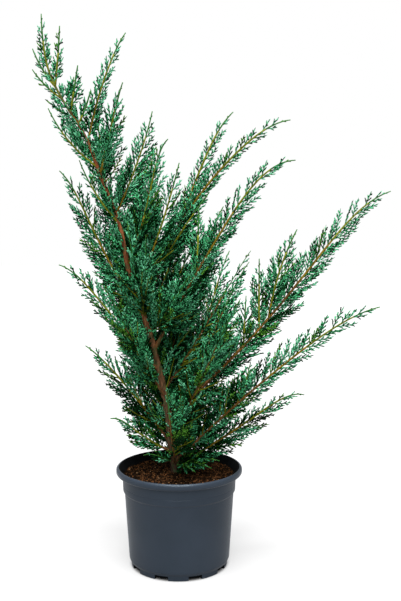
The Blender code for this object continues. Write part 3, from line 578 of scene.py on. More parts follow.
def seenAt(points):
    # Where the line of sight through each point meets the upright plane of the trunk
    eye = np.array(view["place"])
    return eye + (points - eye) * (eye[1] / (eye[1] - points[..., 1:2]))

def openPoints():
    # The open strips: across and height as seen, depth, half the width
    rows = []
    for name, start, end, width in openings:
        at = readLine(lines[name], np.arange(start, end, keepOut["stripPitch"]))[0]
        rows.append(np.column_stack((seenAt(at)[:, (0, 2)], at[:, 1], np.full(len(at), width))))
    return np.vstack(rows)

def homePoints(line, start):
    # Even points of a line that stand for its mass
    return readLine(line, np.linspace(start, lineLength(line), homeCount))[0]

homes = {}
for limb in limbs:
    limb["start"] = limb["bare"] * lineLength(lines[limb["name"]]) * foliageFrom
    homes[limb["name"]] = homePoints(lines[limb["name"]], limb["start"])
homes["leader"] = homePoints(lines["leader"], 0.0)
strips = openPoints()

def freeShare(name, shoots):
    # How much of each shoot stays nearer to its own mass than to another, clear of the pot and of
    # the open strips
    stops = keepOut["stops"]
    at = curvesAt(shoots, stops)[0]
    own = np.linalg.norm(at[:, :, None] - homes[name], axis=-1).min(axis=-1)
    others = np.concatenate([line for other, line in homes.items() if other != name])
    away = np.linalg.norm(at[:, :, None] - others, axis=-1).min(axis=-1)
    across, height = np.hypot(at[..., 0], at[..., 1]), at[..., 2]
    inside = (across < keepOut["inside"]) & (height > soilTop + keepOut["overSoil"])
    clear = (height > keepOut["rimTop"]) | inside | (across > keepOut["outside"])
    seen = seenAt(at)[:, :, None]
    beside = np.hypot(seen[..., 0] - strips[:, 0], seen[..., 2] - strips[:, 1]) < strips[:, 3]
    before = at[:, :, None, 1] < strips[:, 2] - keepOut["inFront"]
    crossing = np.random.default_rng(len(at)).random((len(at), 1)) < keepOut["crossing"]
    hiding = (beside & before).any(axis=-1) & ~crossing
    fits = (away > own + keepOut["spacing"]) & clear & ~hiding
    kept = np.cumprod(fits, axis=1).sum(axis=1)
    return np.where(kept > 0, np.concatenate(([0.0], stops))[kept], 0.0)

def shorten(shoots, share):
    # The first part of each shoot as a shoot of its own
    return {**shoots, "run": shoots["run"] * share[:, None], "bend": shoots["bend"] * share[:, None] ** 2,
            "length": shoots["length"] * share}

def stretchOfLine(line, start, end, radius, kind):
    # A shoot through three points of a line, for the slender end of a limb
    points, directions = readLine(line, np.array((start, (start + end) / 2, end)))
    run = -3 * points[0] + 4 * points[1] - points[2]
    bend = 2 * (points[0] + points[2] - 2 * points[1])
    level = unit(np.cross(directions[1], (0.0, 1.0, 0.0)) + 1e-6)
    face = unit(np.cross(directions[1], level))
    return {"root": points[:1], "run": run[None], "bend": bend[None], "face": face[None],
            "length": np.array([end - start]), "radius": np.array([radius]), "kind": np.array([kind])}

deal = {  # how openly a spray stands, from 0 to 1, and what share of each kind that gives; the near-black shaded kind it draws inside and low down is painted shade
    "base": 0.25, "byHeight": 0.35, "outward": 0.4, "overSoil": 0.25,
    "low": 0.2, "tall": 0.6, "soilReach": 0.235, "soilDepth": 0.05,
    "bloom": 0.44, "shaded": (0.18, 1.25), "moss": 0.34, "mossFrom": 0.3,
}

def dealKinds(random, points, outward):
    # Bloom and sea outside and high up, shaded and moss inside and low down, most over the soil; the
    # near-black shaded kind is painted shade inside the crown and over the soil
    height = np.clip((points[:, 2] - deal["low"]) / deal["tall"], 0, 1)
    overSoil = np.clip((deal["soilReach"] - points[:, 2]) / deal["soilDepth"], 0, 1)
    share = deal["base"] + deal["byHeight"] * height + deal["outward"] * outward
    share = np.clip(share - deal["overSoil"] * overSoil, 0, 1)
    roll = random.random(len(points))
    kinds = np.full(len(points), leafKinds.index("sea"))
    kinds[roll < deal["bloom"] * share] = leafKinds.index("bloom")
    # the near-black kind, painted shade, where a spray stands low and inside
    kinds[roll > deal["shaded"][0] + deal["shaded"][1] * share] = leafKinds.index("shaded")
    moss = (random.random(len(points)) < deal["moss"] * (1 - share)) & (roll > deal["mossFrom"])
    kinds[moss] = leafKinds.index("moss")
    return kinds

mass = {  # the side shoots of a limb
    "pitch": (0.0020, 0.0130),  # between them, at the limb's foot and at its tip
    "first": 0.010, "steps": 300, "endShare": 0.8, "places": (0.3, 0.7),
    "angles": (41.0, 37.0, 31.0, 22.0), "angleShares": (0.0, 0.4, 0.8, 1.0), "angleSway": 6,
    "least": 0.027, "taper": 0.75, "uneven": (0.82, 1.12),
    "ranked": (0.34, 0.72), "rankedBy": 0.7,  # how far they are drawn to two ranks, foot and tip
    "offRank": 0.72,  # length of a shoot square to the ranks
    "faceSway": 0.28,
    "forward": 0.21, "lift": 0.09,  # bend towards the parent's direction, and upwards
    "tipRest": 0.50, "tipLeast": 0.003,  # longest shoot over the distance left to the tip
    "long": 0.068,  # longer shoots bear sprays of their own
    "shortest": 0.009,
    "radius": 0.00125,
    "whip": 0.022, "whipShare": 0.4, "whipRadius": 0.0009,  # the slender end of each limb
    "fresh": 0.6,  # share of the limbs with a fresh tip, where they don't lean to or from the camera
    "sideOn": 0.72,  # limbs that do are ranked level, the others upright
}
# how much longer the shoots of a mass are to the right, above at its foot and above at its tip,
# and how long in all
shapes = {
    "leader": (0.0, 0.0, 0.0, 0.68), "trunk": (0.0, 0.0, 0.0, 1.30), "tip_twin": (0.0, 0.0, 0.0, 0.54),
    "right_bottom": (0.0, 0.0, -0.60, 0.76), "right_low": (0.0, 0.60, -0.10, 1.04),
    "right_fork": (0.0, 0.10, 0.10, 0.70), "right_high": (0.20, 0.0, 0.0, 0.90),
    "right_main": (0.0, 0.50, -0.20, 1.03), "right_long": (0.15, 0.25, -0.10, 0.88),
    "right_inner": (0.25, 0.0, 0.0, 0.95), "high_inner": (0.0, 0.0, 0.0, 1.15),
    "low_inner": (-0.30, 0.20, 0.20, 1.20), "back_tall": (-0.20, 0.30, 0.30, 1.10),
    "front_low": (0.60, 0.0, 0.0, 0.60), "front_right": (0.10, -0.10, -0.10, 0.85),
    "left_high": (-0.08, 0.0, 0.0, 1.08), "left_mid": (0.0, 0.30, 0.20, 1.0),
    "left_low": (0.0, 0.50, 0.35, 1.12), "left_bottom": (0.0, 0.10, 0.10, 1.02),
    "spire_left": (0.45, 0.6, 0.4, 0.80), "crown_left": (0.5, 0.3, 0.3, 0.78),
    "crown_right": (0.15, 0.0, 0.0, 0.85), "spire_right": (0.0, 0.0, 0.0, 0.66),
    "spire_front": (0.0, 0.0, 0.0, 0.9), "front_tall": (0.60, -0.20, -0.20, 0.80),
    "mid_right": (0.70, -0.35, -0.20, 0.76), "back_left": (0.0, 0.0, 0.0, 0.90),
    "front_left": (0.0, 0.0, 0.0, 0.90), "tip_left": (0.0, 0.0, 0.0, 0.45), "tip_side": (0.0, 0.0, 0.0, 0.45),
}

def squareTo(directions, turns):
    # A direction square to each given one, turned about it; 90 degrees points up
    level = np.cross(directions, up)
    upright = np.linalg.norm(level, axis=-1, keepdims=True) < 0.05
    level = squareOff(np.where(upright, (1.0, 0.0, 0.0), level), directions)
    lift = np.cross(level, directions)
    return level * np.cos(turns)[:, None] + lift * np.sin(turns)[:, None]

def massPlaces(start, total, whip, crowd, random):
    # The pitch grows with the square of the share; shoots stand where its running count is whole
    near, far = mass["pitch"]
    grid = np.linspace(start + mass["first"], total - mass["endShare"] * whip, mass["steps"])
    pitch = near + (far - near) * ((grid - start) / (total - start)) ** 2
    number = np.cumsum(crowd / pitch) * (grid[1] - grid[0])
    count = int(number[-1])
    return np.interp(np.arange(count) + random.uniform(*mass["places"], count), number, grid)

def massTurns(share, ahead, rankTurn, random):
    # The golden turn from shoot to shoot, drawn towards two ranks more and more to the tip
    count = np.arange(len(share))
    turns = np.radians(random.uniform(0, 360) + goldenTurn * count) - rankTurn
    side = np.where(np.cos(turns) >= 0, 0.0, math.pi)
    off = (turns + math.pi / 2) % math.pi - math.pi / 2
    drawn = np.interp(share, (0.0, mass["rankedBy"]), mass["ranked"]) * (1 - np.abs(ahead[:, 1]))
    return rankTurn + side + off * (1 - drawn)

def growMass(name, line, start, spread, rankTurn, seed, least=mass["least"], crowd=1.0):
    # Side shoots along the line, in the mass's own shape: the spread times a power of what is left
    # to the tip, longer to the sides that its shape says and in its two ranks
    random = np.random.default_rng(seed)
    total = lineLength(line)
    whip = min(mass["whip"], mass["whipShare"] * (total - start))
    along = massPlaces(start, total, whip, crowd, random)
    points, ahead = readLine(line, along)
    share = (along - start) / (total - start)
    turns = massTurns(share, ahead, rankTurn, random)
    across = squareTo(ahead, turns)
    reach = spread * (1.0 - share) ** mass["taper"] + least
    right, footRise, tipRise, size = shapes.get(name, (0.0, 0.0, 0.0, 1.0))
    above = footRise + (tipRise - footRise) * share
    lengths = reach * size * (1.0 + right * across[:, 0] + above * across[:, 2])
    lengths = lengths * random.uniform(*mass["uneven"], len(share))
    ranks = mass["offRank"] + (1 - mass["offRank"]) * np.cos(turns - rankTurn) ** 2
    lengths = np.minimum(lengths * ranks, mass["tipRest"] * (total - along) + mass["tipLeast"])
    angles = np.interp(share, mass["angleShares"], mass["angles"])
    angles = angles + random.uniform(-mass["angleSway"], mass["angleSway"], len(share))
    direction = sideDirections(ahead, across, angles)
    face = np.cross(ahead, direction) + random.normal(0, mass["faceSway"], direction.shape)
    kinds = dealKinds(random, points, share)
    radius = np.full(len(share), mass["radius"])
    shoots = shootSet(points, direction, ahead, face, lengths, mass, radius, kinds)
    shoots = shorten(shoots, freeShare(name, shoots))
    shoots = pickFrom(shoots, shoots["length"] > mass["shortest"])
    long = shoots["length"] > mass["long"]
    sprays, twigs = [pickFrom(shoots, ~long)], pickFrom(shoots, long)
    if long.any():
        sprays += [growSprays(name, twigs, random), tipsOf(twigs)]
    fresh = random.random() < mass["fresh"] and abs(ahead[-1, 1]) < 0.5
    endKind = leafKinds.index("fresh" if fresh else "bloom")
    end = stretchOfLine(line, total - whip, total, mass["whipRadius"], endKind)
    return joinSets(sprays), twigs, end

spray = {  # on the long shoots
    "first": 0.012, "pitch": 0.0085, "last": 0.026, "jitter": 0.15,
    "share": 0.46, "least": 0.010, "most": 0.046, "uneven": (0.8, 1.1),
    "angle": 40, "angleSway": 6, "sway": 0.55, "faceSway": 0.3,
    "sameKind": 0.75, "outward": 0.5,  # share of them that are of their shoot's kind
    "forward": 0.21, "lift": 0.06, "radius": 0.00115,
    "tip": 0.040,  # the far end of a long shoot, itself a spray
    "rings": ((0.03, 0.5, 0.9), (1.0, 0.95, 0.85)),  # stations of its cord, and its girth there
    "drawn": 0.985,  # share of its length that is drawn
}

def growSprays(name, twigs, random):
    # Sprays in two ranks on every long shoot, as long as a share of what is left to its tip
    owner, order, along = placesAlong(twigs["length"], spray)
    count = len(owner)
    along = along + random.uniform(-spray["jitter"], spray["jitter"], count) * spray["pitch"]
    points, ahead, across = twoRanks(twigs, owner, order, along / twigs["length"][owner],
                                     spray["sway"], random)
    lengths = spray["share"] * (twigs["length"][owner] - along) + spray["least"]
    lengths = np.minimum(lengths, spray["most"]) * random.uniform(*spray["uneven"], count)
    sway = random.uniform(-spray["angleSway"], spray["angleSway"], count)
    direction = sideDirections(ahead, across, spray["angle"] + sway)
    face = np.cross(ahead, direction) + random.normal(0, spray["faceSway"], direction.shape)
    same = random.random(count) < spray["sameKind"]
    dealt = dealKinds(random, points, np.full(count, spray["outward"]))
    kinds = np.where(same, twigs["kind"][owner], dealt)
    radius = np.full(count, spray["radius"])
    made = shootSet(points, direction, ahead, face, lengths, spray, radius, kinds)
    made = shorten(made, freeShare(name, made))
    return pickFrom(made, made["length"] > mass["shortest"])

def tipsOf(twigs):
    # The far part of each long shoot, which bears leaves itself: the same curve from its cut on
    cut = np.maximum(0.0, 1.0 - spray["tip"] / twigs["length"])[:, None]
    root, run, bend = (twigs[key] for key in ("root", "run", "bend"))
    return {**twigs, "root": root + run * cut + bend * cut ** 2,
            "run": (run + 2 * bend * cut) * (1 - cut), "bend": bend * (1 - cut) ** 2,
            "length": twigs["length"] * (1 - cut[:, 0]),
            "radius": np.full(len(cut), spray["radius"])}

leaf = {  # the twiglets of a spray
    "first": 0.0055, "pitch": 0.0045, "last": 0.0080, "jitter": 0.008,
    "share": 0.25, "least": 0.0042, "uneven": (0.75, 1.15),  # length over the spray's, and more
    "taper": 0.72, "foot": 0.62, "fullFrom": 0.30,  # to the tip, and from the foot
    "angles": (35.0, 26.0), "angleSway": 3, "sway": 0.22, "faceSway": 0.3,
    "forward": 0.16, "lift": 0.02, "radius": 0.00128, "girths": (0.85, 1.15),
    "rings": ((0.14, 0.86), (0.85, 1.0)),
    "darker": 0.28,  # share of them that are a tone darker than their spray
}
endLeaf = {**leaf, "share": 0.11, "least": 0.0034, "angles": (26.0, 18.0)}  # at a limb's end
bit = {  # the small scale shoots on a twiglet
    "first": 0.0028, "pitch": 0.0040, "last": 0.0014,
    "length": 0.0052, "taper": 0.35, "most": 0.6, "uneven": (0.75, 1.15),
    "angle": 25.0, "angleSway": 5, "sway": 0.4,
    "forward": 0.2, "lift": 0.0, "radius": 0.00106, "girths": (0.85, 1.15),
    "rings": ((0.55,), (1.0,)),
    "darker": 0.16,
}
darkerKinds = {"bloom": "sea", "sea": "shaded", "shaded": "shaded", "moss": "shaded", "fresh": "moss"}
darker = np.array([leafKinds.index(darkerKinds[kind]) for kind in leafKinds])

def leavesOn(axes, look, random):
    # Twiglets left and right in the spray's plane: longest near its foot, closing up at its tip
    owner, order, along = placesAlong(axes["length"], look)
    count, lengths = len(owner), axes["length"][owner]
    share = np.clip(along / lengths + random.normal(0, look["jitter"], count), 0.02, 0.99)
    points, ahead, across = twoRanks(axes, owner, order, share, look["sway"], random)
    swelling = look["foot"] + (1 - look["foot"]) * np.minimum(1.0, share / look["fullFrom"])
    lengths = look["share"] * lengths * ((1 - share) ** look["taper"] * swelling) + look["least"]
    lengths = lengths * random.uniform(*look["uneven"], count)
    near, far = look["angles"]
    angles = near + (far - near) * share + random.normal(0, look["angleSway"], count)
    direction = sideDirections(ahead, across, angles)
    face = np.cross(ahead, direction) + random.normal(0, look["faceSway"], direction.shape)
    radius = look["radius"] * random.uniform(*look["girths"], count)
    return shootSet(points, direction, ahead, face, lengths, look, radius, axes["kind"][owner])

def bitsOn(leaves, random):
    # Small scale shoots left and right of every twiglet that is long enough, shorter to its tip
    owner, order, along = placesAlong(leaves["length"], bit)
    count, share = len(owner), along / leaves["length"][owner]
    points, ahead, across = twoRanks(leaves, owner, order + owner, share, bit["sway"], random)
    lengths = bit["length"] * (1.0 - bit["taper"] * share) * random.uniform(*bit["uneven"], count)
    lengths = np.minimum(lengths, bit["most"] * leaves["length"][owner])
    angles = bit["angle"] + random.normal(0, bit["angleSway"], count)
    direction = sideDirections(ahead, across, angles)
    face = np.cross(ahead, direction)
    radius = bit["radius"] * random.uniform(*bit["girths"], count)
    return shootSet(points, direction, ahead, face, lengths, bit, radius, leaves["kind"][owner])

def darken(shoots, share, random):
    # A share of the shoots, dealt at random, turns to the kind that is a tone darker
    chosen = random.random(len(shoots["kind"])) < share
    shoots["kind"] = np.where(chosen, darker[shoots["kind"]], shoots["kind"])

def cords(shoots, rings, sides):
    # Closed cords: rings at the stations of each curve, as thick as its radius times the profile,
    # and a point at either end
    stations, profile = rings
    centre, ahead = curvesAt(shoots, stations)
    face = squareOff(shoots["face"][:, None], ahead)
    side = np.cross(ahead, face)
    angle = (2 * math.pi * np.arange(sides) / sides)[None, None, :, None]
    girth = (shoots["radius"][:, None] * np.array(profile)[None])[:, :, None, None]
    ring = centre[:, :, None] + girth * (face[:, :, None] * np.cos(angle)
                                         + side[:, :, None] * np.sin(angle))
    root, tip = shoots["root"], shoots["root"] + shoots["run"] + shoots["bend"]
    verts = np.concatenate((ring.reshape(len(root), len(stations) * sides, 3), root[:, None],
                            tip[:, None]), axis=1)
    return verts, tubeFaces(len(stations), sides)

def putShoots(name, groups, finish, nodes):
    # Joins cords of one kind into pieces that each stay under the limit
    batches, room = [[]], pieceFaces
    for verts, template in groups:
        first = 0
        while first < len(verts):
            take = min(len(verts) - first, room // len(template))
            if take <= 0:
                batches.append([])
                room = pieceFaces
                continue
            batches[-1].append((verts[first:first + take], template))
            room -= take * len(template)
            first += take
    for count, batch in enumerate(batches):
        points, faces = joinParts(batch)
        label = name if len(batches) == 1 else f"{name}_{count + 1}"
        putMesh(label, points, faces, finish, "foliage", nodes if count == 0 else ())
        print("juniper:", label, len(faces), "triangles")

grown = []
for count, limb in enumerate(limbs):
    sideOn = abs(math.sin(math.radians(limb["azimuth"]))) > mass["sideOn"]
    grown.append(growMass(limb["name"], lines[limb["name"]], limb["start"], limb["spread"],
                          0.0 if sideOn else math.pi / 2, 100 + count))
grown.append(growMass("leader", lines["leader"], 0.0, trunk["leaderSpread"], math.pi / 2, 99))
homes["trunk"] = homePoints(trunkPath, 0.0)
wholeTrunk = np.vstack((trunkPath, lines["leader"][1:]))
onTrunk = [growMass("trunk", *row) for row in (  # line, start, spread, turn, seed, least, crowd
    (wholeTrunk, 0.05, 0.020, math.pi / 2, 98, 0.036, 1.0),
    (wholeTrunk[64:], 0.0, 0.012, math.pi / 2, 97, 0.031, 0.50),  # more of them on the spire
    (wholeTrunk[40:76], 0.0, 0.004, 0.0, 96, 0.018, 0.7))]  # small ones in front of the bark
sprays, twigs = (joinSets([made[part] for made in grown + onTrunk]) for part in (0, 1))
ends = joinSets([made[2] for made in grown])
dice = np.random.default_rng(7)
leaves = joinSets([leavesOn(sprays, leaf, dice), leavesOn(ends, endLeaf, dice)])
darken(leaves, leaf["darker"], dice)
bits = bitsOn(leaves, dice)
darken(bits, bit["darker"], dice)
print("juniper:", len(sprays["length"]), "sprays", len(twigs["length"]), "long shoots",
      len(leaves["length"]), "twiglets", len(bits["length"]), "bits")

foliageNodes = [f"foliage_{row[0]}" for row in sourceLimbs] + ["foliage_leader"]
for kind, label in enumerate(leafKinds):
    stalks = pickFrom(sprays, sprays["kind"] == kind)
    stalks = shorten(stalks, np.full(len(stalks["length"]), spray["drawn"]))
    groups = [cords(pickFrom(leaves, leaves["kind"] == kind), leaf["rings"], shootSides),
              cords(pickFrom(bits, bits["kind"] == kind), bit["rings"], shootSides),
              cords(stalks, spray["rings"], shootSides)]
    putShoots(f"{label}_sprays", groups, finishes[label], foliageNodes if kind == 0 else ())

# Stems and long shoots

stem = {
    "tones": {"russet": (0.23, 9.0), "amber": (0.14, 0.23), "olive": (0.045, 0.14),
              "green": (0.0, 0.045)},  # by the distance to the tip
    "hiddenTones": {"russet": (0.10, 9.0), "green": (0.0, 0.10)},
    "hidden": ("front_", "mid_", "soil_"),  # thin and brown, lost in the leaves
    "hiddenGirth": 0.6,
    "tipRadius": 0.0009, "leastFoot": 0.0020, "boughEnd": 0.0024, "taper": 0.55,
    "shortest": 0.002, "pitch": 0.006, "leastRows": 4,
    "columns": 6, "knots": 0.10, "knotLength": 0.004, "seed": 5,
    "longRadius": 0.0013, "longSides": 5,
    "longRings": ((0.02, 0.3, 0.6, 0.9), (1.0, 0.85, 0.7, 0.55)),
}

def stemTube(line, low, high, start, foot, thinner):
    # A length of a stem: its girth is a power of the share that is left to the tip, with knots
    total, tip, columns = lineLength(line), stem["tipRadius"], stem["columns"]
    along = np.linspace(low, high, max(stem["leastRows"], int((high - low) / stem["pitch"])))
    points, directions = readLine(line, along)
    left = ((total - along) / (total - start)) ** stem["taper"]
    girth = (tip + (max(foot, stem["leastFoot"]) - tip) * left) * thinner
    knots = latticeNoise(np.arange(columns)[None] + 0.5, along[:, None] / stem["knotLength"],
                         columns, stem["seed"])
    level = np.cross(directions.mean(axis=0), up)
    level = depthAxis if np.linalg.norm(level) < 0.05 else unit(level)
    return limbTube(points, directions, level, girth[:, None] * (1 + stem["knots"] * knots))

def stemPieces():
    # The stem of every mass cut into lengths by the distance to its tip, each length its own tone
    store = {label: [] for label in stem["tones"]}
    for limb in limbs + [{"name": "leader", "bare": 0, "footRadius": trunk["tipRadius"]}]:
        line = lines[limb["name"]]
        total = lineLength(line)
        start = limb["bare"] * total
        foot = stem["boughEnd"] if limb["bare"] else limb["footRadius"]
        hidden = limb["name"].startswith(stem["hidden"])
        thinner = stem["hiddenGirth"] if hidden else 1.0
        for label, (near, far) in stem["hiddenTones" if hidden else "tones"].items():
            low, high = max(start, total - far), total - near
            if high - low >= stem["shortest"]:
                verts, faces = stemTube(line, low, high, start, foot, thinner)
                store[label].append((verts[None], faces))
    return store

stems = stemPieces()
longShoots = {**twigs, "radius": np.full(len(twigs["length"]), stem["longRadius"])}
stems["olive"].append(cords(longShoots, stem["longRings"], stem["longSides"]))
for label, tubes in stems.items():
    putMesh(f"{label}_twigs", *joinParts(tubes), finishes[label], "foliage")
print("juniper: foliage")

# Pot

pot = {
    "columnStep": 2.0,  # degrees
    "slots": 9, "slotStart": 20.0, "slotWidth": 0.024, "slotHeight": 0.008, "slotInner": 0.0750,
    "slotEdge": 0.12, "slotClear": 0.3,  # degrees
    "slotRows": 12,  # rows of the profile that may be pushed in
    "footRadius": 0.0860, "floor": 0.0031,
    "innerHeights": (0.0, 0.163, 0.1775), "innerRadii": (0.0845, 0.0996, 0.1080),
    "sharpAngle": 38,
    "tones": (screen(40, 49, 60), screen(54, 63, 76)),
    "roughness": 0.36, "span": (0.44, 0.32), "gloss": 0.52, "bump": 0.25, "depth": 0.0004,
    "cloud": {"Blotch": 14.0, "Speck": 1500.0, "Speck share": 0.35, "Contrast": 1.8},
    "sheen": {"Sheen Weight": 0.22, "Sheen Roughness": 0.30, "Sheen Tint": (0.85, 0.92, 1.0, 1.0),
              "Specular Tint": (0.72, 0.87, 1.0, 1.0)},
    # near-black tones for the inside of the pot: painted shade on its inner wall
    "paintedShadeTones": (screen(5, 6, 7), screen(16, 19, 22)),
    "paintedShade": {"roughness": 0.7, "mottle": {"Blotch": 40.0, "Speck": 500.0}},
}
potProfile = (  # radius, height and how far the corner is rounded, from the bottom up and back inside
    (0.0860, 0.0, 0.0006), (0.0867, 0.00795, 0.0), (0.0868, 0.00805, 0.0), (0.0872, 0.0092, 0.0012),
    (0.0900, 0.0135, 0.0014), (0.0976, 0.1336, 0.0012), (0.1004, 0.1368, 0.0010), (0.1007, 0.1466, 0.0003),
    (0.1003, 0.1474, 0.0003), (0.1008, 0.1482, 0.0003), (0.1012, 0.1652, 0.0008), (0.1096, 0.1660, 0.0016),
    (0.1125, 0.1688, 0.0014), (0.1125, 0.1752, 0.0020), (0.1098, 0.1780, 0.0018), (0.1074, 0.1780, 0.0012),
    (0.1058, 0.1758, 0.0010), (0.0986, 0.1632, 0.0012), (0.0982, 0.1370, 0.0010), (0.0954, 0.1325, 0.0010),
    (0.0878, 0.0139, 0.0010), (0.0838, 0.0105, 0.0010), (0.0834, 0.0031, 0.0006),
)

def roundedProfile(corners, steps=4):
    # Each corner becomes a short curve from one side to the other: a quadratic blend of its ends
    path = [corners[0][:2]]
    for before, corner, after in zip(corners, corners[1:], corners[2:]):
        here, size = np.array(corner[:2]), corner[2]
        if size == 0:
            path.append(tuple(here))
            continue
        back, on = np.array(before[:2]) - here, np.array(after[:2]) - here
        start = here + back / np.linalg.norm(back) * min(size, np.linalg.norm(back) * 0.45)
        end = here + on / np.linalg.norm(on) * min(size, np.linalg.norm(on) * 0.45)
        for t in np.linspace(0, 1, steps):
            path.append(tuple((1 - t) ** 2 * start + 2 * t * (1 - t) * here + t * t * end))
    path.append(corners[-1][:2])
    return np.array(path)

def apart(bearings, others):
    # Degrees between each bearing and the nearest of the others
    return np.abs((bearings[:, None] - others[None] + 180) % 360 - 180).min(axis=1)

def turnPot():
    # The profile turned about the Z axis; inside a slot the low rows are pushed in
    profile = roundedProfile(potProfile)
    half = math.degrees(math.asin(pot["slotWidth"] / 2 / pot["footRadius"]))
    middles = pot["slotStart"] + 360.0 / pot["slots"] * np.arange(pot["slots"])
    offsets = (-half - pot["slotEdge"], -half, half, half + pot["slotEdge"])
    edges = np.concatenate([middles + offset for offset in offsets]) % 360
    even = np.arange(0, 360, pot["columnStep"])
    bearing = np.sort(np.concatenate((even[apart(even, edges) > pot["slotClear"]], edges)))
    inSlot = (apart(bearing, middles) <= half + 0.01)[None]
    radius = np.broadcast_to(profile[:, :1], (len(profile), len(bearing))).copy()
    height = np.broadcast_to(profile[:, 1:], radius.shape)
    outer = np.arange(len(profile))[:, None] < pot["slotRows"]
    radius[inSlot & outer & (height < pot["slotHeight"])] = pot["slotInner"]
    angle = np.radians(bearing)[None]
    # the rows run up the outside, so the columns turn clockwise from above to face outwards
    points = np.stack((radius * np.sin(angle), -radius * np.cos(angle), height), axis=-1)
    verts = np.vstack((points.reshape(-1, 3), ((0.0, 0.0, 0.0), (0.0, 0.0, pot["floor"]))))
    return verts, tubeFaces(len(profile), len(bearing))

def potFinish():
    # Satin slate plastic: a cloudy tone, fine moulded grain and a faint pale sheen
    made, tree, shader, place = newFinish("slate_plastic", pot["roughness"], pot["gloss"])
    mask, grain = useGroup(tree, place, mottle, pot["cloud"])
    dressShader(tree, shader, blendColours(tree, mask, *pot["tones"]), mask, grain, pot)
    feed(tree, shader, pot["sheen"])
    return made

potVerts, potFaces = turnPot()
potPiece = putMesh("pot_moulding", potVerts, potFaces, potFinish(), "plastic_pot", ("pot",))
# The faces inside the pot take a near-black second finish: painted shade on the inner wall above the soil
potPiece.data.materials.append(mottledFinish("painted_shade_plastic", *pot["paintedShadeTones"], **pot["paintedShade"]))
middles = potVerts[potFaces].mean(axis=1)
wall = np.interp(middles[:, 2], pot["innerHeights"], pot["innerRadii"])
inward = np.hypot(middles[:, 0], middles[:, 1]) < wall
potPiece.data.polygons.foreach_set("material_index", inward.astype(np.int32))
potPiece.data.set_sharp_from_angle(angle=math.radians(pot["sharpAngle"]))
print("juniper: pot")

# Soil

crumbLook = {"mottle": {"Blotch": 300.0, "Speck": 1400.0, "Speck share": 0.5, "Contrast": 3.0},
             "bump": 0.6, "depth": 0.0005}
chipLook = {**crumbLook, "mottle": {**crumbLook["mottle"], "Blotch": 260.0, "Speck": 1200.0}}
paleLook = {**chipLook, "bump": 0.5, "mottle": {**chipLook["mottle"], "Contrast": 2.5}}
soil = {
    "radius": 0.0996, "rows": 70, "columns": 200, "middle": 0.0004,
    "wall": ((0.0974, 0.156), (0.0976, 0.138), (0.0946, 0.131), (0.0872, 0.0145), (0.0828, 0.011),
             (0.0826, 0.0034)),  # radius and height, down to the floor
    "sunk": 0.0008, "edge": 0.0012, "mound": 0.0030, "moundSpread": 0.022,
    "lumps": ((0.0016, 0.013, 20, 41, 3), (0.0011, 0.0052, 60, 121, 4),
              (0.0006, 0.0021, 90, 211, 5)),  # height, size, shift, cells and seed
    "tones": (screen(7, 4, 1), screen(38, 23, 11)),
    "look": {"roughness": 0.9, "bump": 0.9, "depth": 0.0012,
             "mottle": {"Blotch": 160.0, "Speck": 900.0, "Speck share": 0.5, "Contrast": 3.2}},
    "looseReach": 0.965, "corners": (0.7, 1.25),
    "crumbs": 5200, "crumbSize": 0.0007, "crumbSpread": (0.35, 0.38), "crumbSides": (0.7, 1.3),
    "crumbLie": (1.5, 0.35), "chipLie": (0.35, 0.8),  # how tumbled, and how far sunk in
    "chips": 420, "chipSizes": ((0.002, 0.0052), (0.0008, 0.0017), (0.0005, 0.0009)),
}
crumbKinds = (  # piece, finish, share of the crumbs, roughness, dark and light tone, look
    ("peat_crumbs", "peat_crumbs", 0.50, 0.92, screen(8, 4, 1), screen(42, 26, 12), crumbLook),
    ("brown_crumbs", "brown_crumbs", 0.37, 0.9, screen(44, 26, 11), screen(88, 60, 36), crumbLook),
    ("chip_crumbs", "bark_chips", 0.11, 0.82, screen(84, 50, 26), screen(126, 84, 50), chipLook),
    ("pale_crumbs", "pale_specks", 0.02, 0.85, screen(128, 96, 66), screen(170, 138, 104), paleLook),
)

def soilHeight(x, y):
    # Flat soil with lumps of three sizes, heaped a little round the trunk and sunk at the wall
    lumps = sum(height * latticeNoise(x / size + shift, y / size + shift, cells, seed)
                for height, size, shift, cells, seed in soil["lumps"])
    away = (x - trunk["foot"]) ** 2 + y ** 2
    heap = soil["mound"] * np.exp(-away / soil["moundSpread"] ** 2)
    sink = soil["edge"] * (np.hypot(x, y) / soil["radius"]) ** 6
    return soilTop - soil["sunk"] + lumps + heap - sink

def layTop():
    # A round bed: rings out from the middle on the height above, then the wall down to the floor
    rings = soil["radius"] * np.sqrt(np.linspace(soil["middle"], 1.0, soil["rows"]))[:, None]
    angle = roundAngles(soil["columns"])
    x, y = rings * np.cos(angle), rings * np.sin(angle)
    top = np.stack((x, y, soilHeight(x, y)), axis=-1)
    below = [np.stack((radius * np.cos(angle), radius * np.sin(angle),
                       np.full(len(angle), height)), axis=-1) for radius, height in soil["wall"]]
    rows = np.concatenate((top, np.array(below)))[::-1]
    poles = ((0.0, 0.0, soil["wall"][-1][1]), (0.0, 0.0, float(soilHeight(0.0, 0.0))))
    return np.vstack((rows.reshape(-1, 3), poles)), tubeFaces(len(rows), len(angle))

def turned(random, count, flatness):
    # Random turning matrices; flatness keeps their third axis near upright
    spin = random.uniform(0, 2 * math.pi, count)
    pole = unit(random.normal(0, 1, (count, 3)) * np.array((flatness, flatness, 0.0)) + up)
    first = unit(np.cross(pole, np.stack((np.cos(spin), np.sin(spin), np.zeros(count)), axis=1)))
    return np.stack((first, np.cross(pole, first), pole), axis=2)

